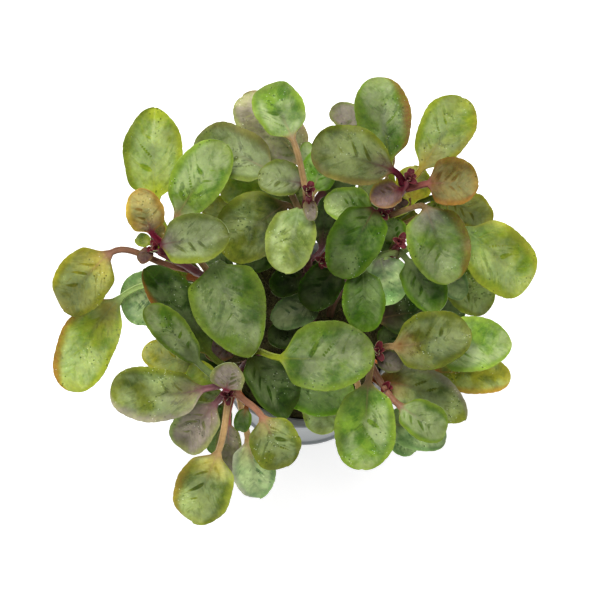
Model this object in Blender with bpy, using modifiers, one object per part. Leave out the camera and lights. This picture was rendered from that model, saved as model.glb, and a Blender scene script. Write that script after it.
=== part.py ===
"""Mini cardinal flower growing in a small round pot, in metres, with +Z up.

The origin is the middle of the pot's flat base, on the surface that it stands on. The leaves are placed by
what a photograph from nearly straight above shows: each blade has the pixel of its neck, where the stalk
meets it, and of its tip, with a height in millimetres for both. `seen_at` turns a pixel and a height into a
point, so each leaf lies where the view shows it, and the heights give the plant its depth.
"""

import math
from collections import namedtuple

import bmesh
import bpy
import numpy as np
from mathutils import Vector

MM = 0.001

# The view that the leaves were placed from, 12 degrees off straight down
VIEW_TILT = math.radians(12)
VIEW_DISTANCE = 600 * MM
VIEW_TARGET = np.array([-0.9, 2.7, 80]) * MM
VIEW_MIDDLE = 300
PIXEL_AT_TARGET = 0.25 * MM

# The pot, a turned cup with a flange at its rim, two bands and a foot ring
POT_HEIGHT = 50 * MM
POT_RIM_RADIUS = 25 * MM
POT_WALL_TOP_RADIUS = 23.6 * MM
POT_WALL_BASE_RADIUS = 21.2 * MM
POT_FOOT_RADIUS = 22 * MM
POT_FOOT_HEIGHT = 2.4 * MM
POT_WALL = 1.3 * MM
POT_FLOOR = 2 * MM
POT_CHAMFER = 0.4 * MM
FLANGE_DEPTH = 2.6 * MM
BAND_HEIGHT = 1.6 * MM
BAND_PROUD = 0.7 * MM
BAND_SLOPE = 0.25 * BAND_HEIGHT
BAND_DROPS = (4.4 * MM, 9.0 * MM)
POT_STEPS = 20

# The plug of mineral wool, level out to a share of its radius, with a socket for each stem
GAP = 0.3 * MM
PLUG_TOP = 46.5 * MM
PLUG_DOME = 1.2 * MM
PLUG_LEVEL_SHARE = 0.72
PLUG_STEPS = 16
SOCKET_DEPTH = 9 * MM
SOCKET_SIDES = 8

# Stems
STEM_BASE_RADIUS = 1.25 * MM
STEM_TIP_RADIUS = 0.85 * MM
STEM_POINTS = 6

# Stalks: how far one starts off its stem's skin, the way it sets out, away from the stem and along it, and how
# thick it is at the blade and at each step back from there, as shares of STALK_THICKNESS
STALK_WIDTH = 1.5 * MM
STALK_MIDDLE = 0.2 * STALK_WIDTH
STALK_THICKNESS = 1.1 * MM
STALK_STAND_OFF = GAP + 0.7 * STALK_THICKNESS
STALK_SET_OUT = (0.75, 0.66)
NECK_SHARE = 0.75
STALK_SHARES = (0.95, 1)
STALK_STEPS = len(STALK_SHARES)

# Blades: the rows of points from neck to tip, the share of the length that the fold takes to open, how wide
# the last row is and how far its ends are set back
BLADE_SHARE = 0.45
BLADE_ALONG = (0, 0.14, 0.38, 0.64, 0.87, 1)
SMALL_BLADE_ALONG = (0, 0.3, 0.68, 1)
FOLD_OPENS = 1 / 3
TIP_WIDTH_SHARE = 0.34
TIP_ROUNDING = 0.03
APEX_POWER = 0.48

# A blade narrower than this, in mm, or one that is joined to its stem, is made of fewer faces
NARROW_BLADE = 9

# How far a curve's handles reach, as a share of the distance between its ends
CURVE_REACH = 0.38
WELD = 0.01 * MM

TINTS = {
    "lime": (0.30, 0.42, 0.08),
    "green": (0.13, 0.30, 0.06),
    "deep": (0.05, 0.16, 0.04),
    "teal": (0.14, 0.26, 0.17),
    "olive": (0.20, 0.24, 0.06),
    "bronze": (0.24, 0.19, 0.08),
    "purple": (0.20, 0.10, 0.12),
    "stem": (0.22, 0.03, 0.05),
    "wool": (0.16, 0.13, 0.07),
    "pot": (0.33, 0.34, 0.35),
}

# root: where the stem leaves the plug, in mm from the pot's axis. crown: the pixel of its growing tip.
# height: the tip's height in mm. lean: how far the tip end lies over, from 0, upright, to 1, level.
Shoot = namedtuple("Shoot", "name root crown height lean")

SHOOTS = [
    Shoot("left", (-11, 3), (156, 250), 88, 0.7),
    Shoot("front_left", (-14, -8), (228, 395), 88, 0.35),
    Shoot("front", (-5, -13), (250, 348), 81, 0.2),
    Shoot("front_right", (10, -9), (377, 352), 86, 0.4),
    Shoot("right", (15.5, 8), (399, 243), 87, 0.2),
    Shoot("back_right", (11, 13), (409, 180), 98, 0.4),
    Shoot("middle", (7, 6), (383, 215), 90, 0.3),
    Shoot("back", (1, 15), (309, 193), 98, 0.3),
    Shoot("centre", (1, -1), (322, 262), 74, 0.1),
]

# joint: how far up its stem the stalk starts, as a share. neck, tip: pixels. heights: of neck and tip, in mm.
# width: of the blade laid flat, in mm. taper: 0.4 for a round base to 0.9 for one that narrows slowly.
# fold: how far each half is folded up at the midrib, in degrees. cup: how far the halves curve up at the
# margins. arch: the midrib's rise at its middle, and bow its swing to the right, as shares of the length.
# roll: degrees that the right margin is turned down. tint: one of TINTS.
Leaf = namedtuple("Leaf", "joint neck tip heights width taper fold cup arch bow roll tint")

LEAVES = {
    "left": [
        Leaf(0.78, (155, 197), (155, 108), (82, 85), 16.3, 0.5, 22, 0.1, 0.05, -0.02, 0, "lime"),
        Leaf(0.88, (151, 231), (138, 189), (89, 97), 9.5, 0.5, 8, 0.1, 0.04, 0, 0, "bronze"),
        Leaf(0.98, (163, 244), (229, 236), (92, 95), 13, 0.5, 10, 0.1, 0.04, 0, 0, "olive"),
        Leaf(0.68, (178, 214), (226, 144), (83, 90), 14, 0.55, 16, 0.1, 0.04, 0, 0, "green"),
        Leaf(0.82, (106, 256), (62, 309), (85, 75), 15.2, 0.38, 4, -0.1, 0.12, 0, 0, "olive"),
        Leaf(0.56, (116, 302), (72, 392), (68, 60), 14, 0.55, 8, 0.0, 0.08, 0.07, 0, "lime"),
        Leaf(0.46, (217, 267), (250, 357), (86, 86), 18.8, 0.42, 10, 0.05, 0.05, 0, 0, "green"),
    ],
    "front_left": [
        Leaf(0.62, (207, 349), (145, 268), (76, 84), 14.5, 0.5, 36, 0.0, 0.04, 0, 10, "deep"),
        Leaf(0.86, (198, 362), (146, 307), (86, 92), 9, 0.8, 24, 0.2, 0.08, 0, 0, "green"),
        Leaf(0.40, (195, 365), (142, 351), (66, 64), 9, 0.5, 6, 0.1, 0.04, 0, 0, "olive"),
        Leaf(0.78, (200, 390), (111, 385), (80, 76), 14, 0.6, 12, 0.1, 0.06, -0.07, -14, "olive"),
        Leaf(0.97, (226, 389), (232, 363), (94, 98), 8.5, 0.4, 10, 0.1, 0.0, 0, 0, "purple"),
        Leaf(0.60, (213, 406), (180, 448), (74, 66), 11.5, 0.5, 12, 0.1, 0.08, 0, 0, "teal"),
        Leaf(0.93, (216, 457), (191, 521), (84, 76), 14.5, 0.5, 10, 0.0, 0.08, 0, 0, "olive"),
        Leaf(0.88, (264, 420), (286, 467), (80, 74), 12.8, 0.5, 10, 0.0, 0.06, 0, 0, "green"),
        Leaf(0.70, (249, 443), (259, 498), (68, 60), 11.5, 0.6, 18, 0.0, 0.06, 0, 0, "teal"),
    ],
    "front": [
        Leaf(0.80, (252, 359), (293, 410), (80, 72), 14, 0.5, 24, 0.15, 0.03, 0.06, -16, "deep"),
        Leaf(0.97, (284, 358), (374, 349), (90, 93), 17.5, 0.45, 7, 0.05, 0.04, 0.05, 0, "green"),
        Leaf(0.50, (284, 385), (354, 397), (69, 68), 13, 0.5, 8, 0.0, 0.06, 0, 0, "green"),
        Leaf(0.30, (322, 384), (322, 435), (61, 57), 10.5, 0.5, 6, 0.0, 0.05, 0, 0, "olive"),
    ],
    "front_right": [
        Leaf(0.93, (368, 386), (362, 469), (83, 73), 15.5, 0.42, 7, 0.0, 0.07, 0, 0, "olive"),
        Leaf(0.82, (402, 407), (446, 432), (80, 78), 10.5, 0.6, 20, 0.1, 0.06, 0.04, 0, "green"),
        Leaf(0.50, (384, 421), (446, 440), (65, 60), 10.5, 0.5, 10, 0.0, 0.05, 0, 0, "teal"),
        Leaf(0.74, (380, 381), (464, 421), (77, 72), 13, 0.6, 22, 0.1, 0.06, -0.1, 12, "olive"),
        Leaf(0.97, (396, 346), (469, 327), (90, 92), 14.5, 0.5, 9, 0.05, 0.05, 0.06, 0, "olive"),
        Leaf(0.84, (438, 350), (512, 343), (82, 79), 14.5, 0.5, 8, 0.0, 0.08, 0, 0, "lime"),
        Leaf(0.62, (438, 372), (511, 377), (71, 68), 10.5, 0.5, 8, 0.0, 0.07, 0, 0, "bronze"),
    ],
    "right": [
        Leaf(0.93, (363, 272), (366, 332), (87, 84), 10.8, 0.5, 8, 0.05, 0.06, 0, 0, "green"),
        Leaf(0.80, (380, 257), (390, 305), (81, 76), 11.5, 0.5, 8, 0.05, 0.05, 0, -6, "teal"),
        Leaf(0.92, (409, 262), (438, 311), (84, 83), 11, 0.5, 18, 0.05, 0.05, 0, 0, "green"),
        Leaf(0.86, (469, 232), (528, 287), (86, 78), 16, 0.45, 10, 0.0, 0.08, 0, 0, "lime"),
        Leaf(0.45, (447, 274), (490, 309), (66, 63), 12, 0.5, 16, 0.05, 0.06, 0, 0, "olive"),
        Leaf(0.12, (380, 318), (464, 306), (64, 56), 13, 0.5, 8, 0.05, 0.05, 0, 0, "deep"),
    ],
    "back_right": [
        Leaf(0.86, (389, 158), (376, 77), (94, 96), 14, 0.5, 8, 0.05, 0.06, 0, 0, "green"),
        Leaf(0.93, (423, 166), (463, 98), (96, 95), 13.3, 0.6, 9, 0.05, 0.06, 0.02, 0, "lime"),
        Leaf(0.96, (430, 183), (478, 184), (100, 101), 12.5, 0.45, 7, 0.05, 0.03, 0, 0, "bronze"),
        Leaf(0.98, (391, 169), (312, 147), (102, 103), 15, 0.6, 8, 0.05, 0.05, 0, 0, "bronze"),
        Leaf(0.90, (400, 189), (371, 201), (96, 97), 7.5, 0.5, 12, 0.1, 0.03, 0, 0, "purple"),
        Leaf(0.72, (412, 200), (413, 166), (86, 87), 9.5, 0.4, 8, 0.05, 0.05, 0, 0, "lime"),
        Leaf(0.80, (427, 210), (451, 283), (94, 92), 15.5, 0.45, 8, 0.05, 0.05, 0, 0, "olive"),
        Leaf(0.64, (448, 200), (491, 222), (83, 79), 9.5, 0.5, 14, 0.05, 0.05, 0, 0, "deep"),
    ],
    "middle": [
        Leaf(0.96, (374, 210), (338, 277), (92.5, 89), 13.5, 0.45, 12, 0.1, 0.08, 0, 0, "deep"),
        Leaf(0.78, (371, 210), (324, 203), (86, 89), 10, 0.45, 12, 0.1, 0.05, 0, 0, "green"),
    ],
    "back": [
        Leaf(0.95, (291, 135), (266, 85), (100, 96), 12.6, 0.5, 12, 0.0, 0.06, 0, 0, "lime"),
        Leaf(0.66, (300, 160), (242, 97), (82, 78), 14.5, 0.5, 8, 0.05, 0.06, 0, 0, "bronze"),
        Leaf(0.72, (269, 170), (196, 138), (86, 80), 13.8, 0.5, 9, 0.05, 0.07, 0, 0, "olive"),
        Leaf(0.84, (301, 183), (258, 177), (92, 91), 9.5, 0.5, 12, 0.05, 0.05, 0, 0, "green"),
        Leaf(0.78, (299, 210), (284, 273), (91, 89), 12.6, 0.5, 12, 0.05, 0.05, 0, 0, "lime"),
        Leaf(0.62, (283, 206), (221, 252), (82, 77), 17, 0.5, 8, 0.05, 0.06, 0, 0, "olive"),
    ],
}

# The small leaves that are one piece with their stem, in the same fields
SMALL_LEAVES = {
    "left": [
        Leaf(0.95, (152, 250), (139, 262), (87, 86), 3.6, 0.5, 10, 0.1, 0.1, 0, 0, "purple"),
        Leaf(0.90, (150, 243), (136, 238), (87, 86), 3.6, 0.5, 10, 0.1, 0.1, 0, 0, "lime"),
        Leaf(0.42, (187, 276), (160, 270), (68, 69), 8, 0.5, 8, 0.1, 0.05, 0, 0, "green"),
        Leaf(0.28, (205, 275), (178, 298), (60, 59), 9, 0.5, 8, 0.1, 0.05, 0, 0, "deep"),
        Leaf(0.38, (164, 297), (121, 301), (65, 65), 14.5, 0.5, 8, 0.1, 0.04, 0, 0, "teal"),
    ],
    "front_left": [
        Leaf(0.80, (246, 409), (240, 431), (80, 76), 4.4, 0.5, 10, 0.1, 0.1, 0, 0, "green"),
        Leaf(0.50, (214, 381), (188, 368), (71, 70), 6.5, 0.5, 8, 0.1, 0.05, 0, 0, "lime"),
        Leaf(0.48, (228, 425), (230, 478), (66, 60), 7, 0.5, 10, 0.1, 0.05, 0, 0, "teal"),
    ],
    "front": [
        Leaf(0.34, (268, 364), (301, 392), (62, 61), 7.5, 0.5, 14, 0.1, 0.05, 0, 0, "green"),
        Leaf(0.65, (236, 347), (205, 352), (72, 70), 7, 0.5, 8, 0.1, 0.05, 0, 0, "purple"),
    ],
    "front_right": [
        Leaf(0.85, (378, 357), (403, 366), (84, 84), 5.8, 0.5, 10, 0.1, 0.05, 0, 0, "purple"),
    ],
    "right": [
        Leaf(0.88, (395, 241), (391, 218), (84, 86), 7.2, 0.5, 22, 0.1, 0.05, 0, 0, "green"),
        Leaf(0.60, (438, 266), (464, 297), (76, 73), 7.5, 0.5, 8, 0.1, 0.05, 0, 0, "teal"),
    ],
    "back_right": [
        Leaf(0.60, (378, 131), (330, 110), (82, 82), 8, 0.5, 8, 0.05, 0.05, 0, 0, "teal"),
        Leaf(0.50, (389, 226), (416, 212), (76, 76), 6.5, 0.5, 8, 0.1, 0.05, 0, 0, "olive"),
    ],
    "back": [
        Leaf(0.96, (309, 200), (312, 221), (96, 95), 3.6, 0.5, 12, 0.1, 0.1, 0, 0, "green"),
        Leaf(0.76, (313, 190), (327, 149), (87, 89), 9.5, 0.5, 14, 0.1, 0.05, 0, 0, "green"),
        Leaf(0.50, (284, 198), (221, 190), (76, 72), 10, 0.5, 8, 0.1, 0.05, 0, 0, "lime"),
        Leaf(0.56, (324, 191), (354, 173), (79, 80), 9, 0.5, 8, 0.1, 0.05, 0, 0, "deep"),
    ],
    "centre": [
        Leaf(0.70, (337, 268), (306, 308), (71, 69), 10.5, 0.5, 8, 0.1, 0.06, 0, 0, "deep"),
        Leaf(0.62, (318, 303), (272, 322), (63, 62), 9, 0.5, 8, 0.1, 0.05, 0, 0, "teal"),
        Leaf(0.40, (304, 335), (268, 335), (57, 56), 8, 0.5, 8, 0.1, 0.05, 0, 0, "deep"),
        Leaf(0.72, (303, 276), (271, 289), (66, 64), 8, 0.5, 8, 0.1, 0.05, 0, 0, "deep"),
    ],
}


def unit(vector):
    return vector / np.linalg.norm(vector)


def seen_at(pixel, height):
    """The point at a height in metres that the view shows at a pixel."""
    forward = np.array([0, math.sin(VIEW_TILT), -math.cos(VIEW_TILT)])
    upward = np.array([0, math.cos(VIEW_TILT), math.sin(VIEW_TILT)])
    eye = VIEW_TARGET - VIEW_DISTANCE * forward
    slope = PIXEL_AT_TARGET / VIEW_DISTANCE
    ray = forward + upward * (VIEW_MIDDLE - pixel[1]) * slope
    ray = ray + np.array([1, 0, 0]) * (pixel[0] - VIEW_MIDDLE) * slope
    return eye + ray * (height - eye[2]) / ray[2]


def curve_between(start, start_way, end, end_way, share):
    """Points on the cubic curve that leaves start along start_way and arrives at end along end_way."""
    t = np.asarray(share, float)[:, None]
    reach = np.linalg.norm(end - start) * CURVE_REACH
    second = start + unit(start_way) * reach
    third = end - unit(end_way) * reach
    return (1 - t) ** 3 * start + 3 * t * (1 - t) ** 2 * second + 3 * t**2 * (1 - t) * third + t**3 * end


def stem_line(shoot, share):
    """Points along a stem: straight up out of the plug, then over towards its crown."""
    root = np.array([shoot.root[0] * MM, shoot.root[1] * MM, PLUG_TOP])
    crown = seen_at(shoot.crown, shoot.height * MM)
    across = crown - root
    across[2] = 0
    end_way = unit(across) * shoot.lean + np.array([0, 0, 1 - shoot.lean])
    return curve_between(root, np.array([0, 0, 1]), crown, end_way, share)


def outline(along, taper):
    """Half the blade's width as a share of its largest, 0 at the neck and at the tip. The rise goes with the
    distance from the neck to the power of taper, and the fall with that from the tip to APEX_POWER."""
    widest = taper / (taper + APEX_POWER)
    rise = (along / widest) ** taper
    fall = ((1 - along) / (1 - widest)) ** APEX_POWER
    return rise * fall


def blade_frame(leaf):
    """The neck, the tip, and the blade's own directions along, to its right and up."""
    neck = seen_at(leaf.neck, leaf.heights[0] * MM)
    tip = seen_at(leaf.tip, leaf.heights[1] * MM)
    forward = unit(tip - neck)
    level = unit(np.cross(forward, [0, 0, 1]))
    above = np.cross(level, forward)
    turn = math.radians(leaf.roll)
    right = level * math.cos(turn) - above * math.sin(turn)
    return neck, tip, forward, right, np.cross(right, forward)


def blade_point(leaf, frame, along, across):
    """A point of the blade's middle surface. along runs from neck to tip, across from -1, left, to 1, right."""
    neck, tip, forward, right, up = frame
    length = np.linalg.norm(tip - neck)
    half = max(outline(along, leaf.taper), TIP_WIDTH_SHARE if along > 0.5 else 0) * leaf.width * MM / 2
    half = max(half, STALK_WIDTH / 2)
    set_back = TIP_ROUNDING * across**2 if along == 1 else 0
    fold = math.radians(leaf.fold) * min(1, along / FOLD_OPENS)
    hump = length * 4 * along * (1 - along)
    middle = neck + (tip - neck) * (along - set_back) + (up * leaf.arch + right * leaf.bow) * hump
    sideways = right * half * across * math.cos(fold)
    lift = half * (abs(across) * math.sin(fold) + leaf.cup * across**2)
    return middle + sideways + up * lift


def leaf_mesh(name, leaf, shoot, along_shares, columns, joined):
    """A leaf as an open surface, a blade of rows and columns with its stalk, and each point's thickness."""
    bm = bmesh.new()
    thickness = bm.verts.layers.deform.new()
    rows = len(along_shares)
    bmesh.ops.create_grid(bm, x_segments=columns, y_segments=rows - 1, size=0.5)
    frame = blade_frame(leaf)
    row_of = {}
    for vert in bm.verts:
        column = round((vert.co.x + 0.5) * columns)
        row = round((vert.co.y + 0.5) * (rows - 1))
        across = 2 * column / columns - 1
        row_of[vert] = (row, column)
        vert.co = Vector(blade_point(leaf, frame, along_shares[row], across))
        vert[thickness][0] = NECK_SHARE if row == 0 else BLADE_SHARE
    if columns == 4:
        # The neck and the tip keep three of their five points, which leaves the stalk with two faces across
        vert_at = {place: vert for vert, place in row_of.items()}
        weld = {}
        for end_row in (0, rows - 1):
            for gone, kept in ((1, 0), (3, 4)):
                weld[vert_at[end_row, gone]] = vert_at[end_row, kept]
                row_of.pop(vert_at[end_row, gone])
        bmesh.ops.weld_verts(bm, targetmap=weld)
    neck_edges = [e for e in bm.edges if all(row_of[v][0] == 0 for v in e.verts)]
    add_stalk(bm, neck_edges, leaf, shoot, frame, joined, thickness)
    bmesh.ops.recalc_face_normals(bm, faces=bm.faces)
    mesh = bpy.data.meshes.new(name)
    bm.to_mesh(mesh)
    bm.free()
    return mesh


def add_stalk(bm, edges, leaf, shoot, frame, joined, thickness):
    """Carry the edges at the blade's neck back to the stem, as a strip that becomes the stalk."""
    neck, tip, forward, right, up = frame
    joint, ahead = stem_line(shoot, [leaf.joint, leaf.joint + 0.01])
    growing = unit(ahead - joint)
    outward = unit((neck - joint) - growing * np.dot(neck - joint, growing))
    stem_radius = STEM_BASE_RADIUS + (STEM_TIP_RADIUS - STEM_BASE_RADIUS) * leaf.joint
    stand_off = 0 if joined else stem_radius + STALK_STAND_OFF
    start = joint + outward * stand_off
    start_way = outward * STALK_SET_OUT[0] + growing * STALK_SET_OUT[1]
    shares = np.linspace(1, 0, STALK_STEPS + 1)
    line = curve_between(start, start_way, neck, forward + up * 4 * leaf.arch, shares)
    for step in range(1, STALK_STEPS + 1):
        grown = bmesh.ops.extrude_edge_only(bm, edges=edges)["geom"]
        edges = [g for g in grown if isinstance(g, bmesh.types.BMEdge)]
        verts = [g for g in grown if isinstance(g, bmesh.types.BMVert)]
        way = unit(line[step - 1] - line[step])
        side = unit(right - way * np.dot(right, way))
        middle = Vector(line[step])
        centre = Vector(line[step - 1])
        for vert in verts:
            place = (vert.co - centre).dot(Vector(side))
            sign = 0 if abs(place) < STALK_MIDDLE else math.copysign(1, place)
            vert.co = middle + Vector(side) * sign * STALK_WIDTH / 2
            vert[thickness][0] = STALK_SHARES[step - 1]


def material(name, tint, roughness):
    found = bpy.data.materials.new(name)
    found.use_nodes = True
    shader = found.node_tree.nodes["Principled BSDF"]
    shader.inputs["Base Color"].default_value = (*TINTS[tint], 1)
    shader.inputs["Roughness"].default_value = roughness
    shader.inputs["Metallic"].default_value = 0
    return found


def add_object(name, data, collection):
    thing = bpy.data.objects.new(name, data)
    collection.objects.link(thing)
    return thing


def hide_guide(thing):
    thing.hide_render = True
    thing.display_type = "WIRE"


def make_leaf(name, leaf, shoot, collection, joined):
    """A leaf from its open surface, with Solidify giving the blade and the stalk their thickness."""
    coarse = joined or leaf.width < NARROW_BLADE
    shares = SMALL_BLADE_ALONG if coarse else BLADE_ALONG
    mesh = leaf_mesh(name, leaf, shoot, shares, 2 if coarse else 4, joined)
    thing = add_object(name, mesh, collection)
    thing.vertex_groups.new(name="thickness")
    solid = thing.modifiers.new("thickness", "SOLIDIFY")
    solid.thickness = STALK_THICKNESS
    solid.offset = 0
    solid.vertex_group = "thickness"
    thing.data.materials.append(material(name, leaf.tint, 0.4))
    thing.data.shade_smooth()
    return thing


def make_stem(shoot, collection, cutters):
    """A stem as a tapered tube from inside the plug to its crown, joined with its small leaves."""
    shares = np.linspace(0, 1, STEM_POINTS - 1)
    line = list(stem_line(shoot, shares))
    line.insert(0, line[0] - np.array([0, 0, SOCKET_DEPTH - GAP]))
    curve = bpy.data.curves.new(shoot.name, "CURVE")
    curve.dimensions = "3D"
    curve.bevel_depth = 1
    curve.bevel_resolution = 1
    curve.use_fill_caps = True
    spline = curve.splines.new("POLY")
    spline.points.add(len(line) - 1)
    for number, (point, place) in enumerate(zip(spline.points, line)):
        point.co = (*place, 1)
        taper = max(0, number - 1) / (len(line) - 2)
        point.radius = STEM_BASE_RADIUS + (STEM_TIP_RADIUS - STEM_BASE_RADIUS) * taper
    tube = add_object("tube", curve, cutters)
    bpy.context.view_layer.update()
    mesh = bpy.data.meshes.new_from_object(tube.evaluated_get(bpy.context.evaluated_depsgraph_get()))
    bpy.data.objects.remove(tube)
    bm = bmesh.new()
    bm.from_mesh(mesh)
    bmesh.ops.remove_doubles(bm, verts=bm.verts, dist=WELD)
    bmesh.ops.recalc_face_normals(bm, faces=bm.faces)
    bm.to_mesh(mesh)
    bm.free()
    stem = add_object(shoot.name + "_stem", mesh, collection)
    stem.data.materials.clear()
    stem.data.materials.append(material(stem.name, "stem", 0.45))
    for number, leaf in enumerate(SMALL_LEAVES.get(shoot.name, []), 1):
        grown = make_leaf(f"{shoot.name}_small_leaf_{number}", leaf, shoot, cutters, True)
        hide_guide(grown)
        join = stem.modifiers.new(grown.name, "BOOLEAN")
        join.operation = "UNION"
        join.solver = "EXACT"
        join.object = grown
    return stem


def turned(name, profile, steps, collection):
    """A solid turned about +Z from a profile of (radius, height) points that starts and ends on the axis."""
    mesh = bpy.data.meshes.new(name)
    edges = [(k, k + 1) for k in range(len(profile) - 1)]
    mesh.from_pydata([(radius, 0, height) for radius, height in profile], edges, [])
    thing = add_object(name, mesh, collection)
    screw = thing.modifiers.new("turn", "SCREW")
    screw.steps = steps
    screw.render_steps = steps
    screw.use_merge_vertices = True
    screw.merge_threshold = WELD
    return thing


def wall_radius(height):
    """The pot's outer wall radius at a height, on its taper."""
    share = (height - POT_FOOT_HEIGHT) / (POT_HEIGHT - FLANGE_DEPTH - POT_FOOT_HEIGHT)
    return POT_WALL_BASE_RADIUS + (POT_WALL_TOP_RADIUS - POT_WALL_BASE_RADIUS) * share


def make_pot(collection):
    """The pot: up the inside from the middle of its floor, over the rim, and down the banded outside."""
    under_flange = POT_HEIGHT - FLANGE_DEPTH
    profile = [
        (0, POT_FLOOR),
        (wall_radius(POT_FLOOR) - POT_WALL, POT_FLOOR),
        (wall_radius(under_flange) - POT_WALL, under_flange),
        (wall_radius(under_flange) - POT_WALL, POT_HEIGHT),
        (POT_RIM_RADIUS - POT_CHAMFER, POT_HEIGHT),
        (POT_RIM_RADIUS, POT_HEIGHT - POT_CHAMFER),
        (POT_RIM_RADIUS, under_flange),
        (wall_radius(under_flange), under_flange),
    ]
    for drop in BAND_DROPS:
        top = POT_HEIGHT - drop
        bottom = top - BAND_HEIGHT
        profile += [
            (wall_radius(top), top),
            (wall_radius(top) + BAND_PROUD, top - BAND_SLOPE),
            (wall_radius(top) + BAND_PROUD, bottom + BAND_SLOPE),
            (wall_radius(bottom), bottom),
        ]
    profile += [
        (wall_radius(POT_FOOT_HEIGHT), POT_FOOT_HEIGHT),
        (POT_FOOT_RADIUS, POT_FOOT_HEIGHT - POT_CHAMFER),
        (POT_FOOT_RADIUS, POT_CHAMFER),
        (POT_FOOT_RADIUS - POT_CHAMFER, 0),
        (0, 0),
    ]
    pot = turned("pot", profile, POT_STEPS, collection)
    pot.data.materials.append(material("pot", "pot", 0.4))
    return pot


def make_plug(collection, cutters):
    """The plug of mineral wool, with a socket for each stem."""
    bottom = POT_FLOOR + GAP
    base_radius = wall_radius(bottom) - POT_WALL - 2 * GAP
    top_radius = wall_radius(PLUG_TOP) - POT_WALL - 2 * GAP
    edge = PLUG_TOP - PLUG_DOME
    profile = [
        (0, PLUG_TOP),
        (top_radius * PLUG_LEVEL_SHARE, PLUG_TOP),
        (top_radius, edge),
        (base_radius, bottom),
        (0, bottom),
    ]
    plug = turned("wool_plug", profile, PLUG_STEPS, collection)
    plug.data.materials.append(material("wool_plug", "wool", 0.9))
    for shoot in SHOOTS:
        bm = bmesh.new()
        bmesh.ops.create_cone(
            bm,
            cap_ends=True,
            segments=SOCKET_SIDES,
            radius1=STEM_BASE_RADIUS + GAP,
            radius2=STEM_BASE_RADIUS + GAP,
            depth=2 * SOCKET_DEPTH,
        )
        mesh = bpy.data.meshes.new("socket")
        bm.to_mesh(mesh)
        bm.free()
        socket = add_object(shoot.name + "_socket", mesh, cutters)
        socket.location = (shoot.root[0] * MM, shoot.root[1] * MM, PLUG_TOP)
        hide_guide(socket)
        cut = plug.modifiers.new(shoot.name, "BOOLEAN")
        cut.operation = "DIFFERENCE"
        cut.solver = "EXACT"
        cut.object = socket
    return plug


def build():
    for thing in list(bpy.data.objects):
        bpy.data.objects.remove(thing)
    parts = bpy.data.collections.new("mini_cardinal_flower")
    cutters = bpy.data.collections.new("cutters")
    bpy.context.scene.collection.children.link(parts)
    bpy.context.scene.collection.children.link(cutters)
    make_pot(parts)
    make_plug(parts, cutters)
    for shoot in SHOOTS:
        make_stem(shoot, parts, cutters)
        for number, leaf in enumerate(LEAVES.get(shoot.name, []), 1):
            make_leaf(f"{shoot.name}_leaf_{number}", leaf, shoot, parts, False)


build()
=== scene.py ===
# %% [markdown]
# # Mini cardinal flower in a small pot
#
# This is a young water plant, as a shop sells it. A few dark red stems stand in a plug of mineral wool in a
# small grey pot, and round leaves on long stalks spread from them. It is seen from nearly straight above.
# The solids of every stem and leaf are loaded first. Each is then covered by a finer surface, worked out with
# numpy from the same places, and finished with materials made of nodes.

# %% Load the solids
import math
from collections import namedtuple

import bpy
import numpy as np
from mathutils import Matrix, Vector


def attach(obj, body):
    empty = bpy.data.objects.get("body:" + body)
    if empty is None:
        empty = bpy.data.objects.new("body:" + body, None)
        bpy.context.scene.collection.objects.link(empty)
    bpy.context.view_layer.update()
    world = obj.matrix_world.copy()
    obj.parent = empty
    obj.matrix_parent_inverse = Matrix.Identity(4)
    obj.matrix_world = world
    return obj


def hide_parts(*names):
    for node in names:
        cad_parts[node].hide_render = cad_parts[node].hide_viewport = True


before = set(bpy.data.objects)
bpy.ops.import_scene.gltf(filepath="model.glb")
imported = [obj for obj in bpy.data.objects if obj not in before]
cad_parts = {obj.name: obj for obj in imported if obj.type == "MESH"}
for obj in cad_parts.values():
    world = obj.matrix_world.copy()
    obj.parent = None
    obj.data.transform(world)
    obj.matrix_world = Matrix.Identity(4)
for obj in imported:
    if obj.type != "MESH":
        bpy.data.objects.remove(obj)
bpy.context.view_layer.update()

# %% [markdown]
# ## The view
#
# The camera looks down from the front, 12 degrees off straight down, from 0.6 m. A long lens at that distance
# keeps the near leaves from looking too large. `seen_at` is the camera turned round: it gives the point that
# lies at a known height behind a pixel of the 600 by 600 view, and the leaves are placed with it.

# %% Place the camera
MM = 0.001
VIEW_TILT = math.radians(12)
VIEW_DISTANCE = 600 * MM
VIEW_TARGET = np.array([-0.9, 2.7, 80]) * MM
VIEW_PIXELS = 600
PIXEL_AT_TARGET = 0.25 * MM
SENSOR = 36

LOOKING = np.array([0, math.sin(VIEW_TILT), -math.cos(VIEW_TILT)])
UPWARD = np.array([0, math.cos(VIEW_TILT), math.sin(VIEW_TILT)])
EYE = VIEW_TARGET - VIEW_DISTANCE * LOOKING


def seen_at(pixel, height):
    """The point at a height in metres behind a pixel: eye + ray * (height - eye's height) / ray's fall."""
    slope = PIXEL_AT_TARGET / VIEW_DISTANCE
    aside = np.array([1, 0, 0]) * (pixel[0] - VIEW_PIXELS / 2) * slope
    ray = LOOKING + UPWARD * (VIEW_PIXELS / 2 - pixel[1]) * slope + aside
    return EYE + ray * (height - EYE[2]) / ray[2]


def add_object(name, data):
    """A new object that shows a camera, a light or a mesh, linked into the scene."""
    fresh = bpy.data.objects.new(name, data)
    bpy.context.scene.collection.objects.link(fresh)
    return fresh


camera = add_object("camera", bpy.data.cameras.new("camera"))
bpy.context.scene.camera = camera
camera.location = EYE
camera.rotation_euler = (VIEW_TILT, 0, 0)
camera.data.sensor_width = SENSOR
camera.data.lens = SENSOR * VIEW_DISTANCE / (VIEW_PIXELS * PIXEL_AT_TARGET)
print("lens:", camera.data.lens, "mm")

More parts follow.
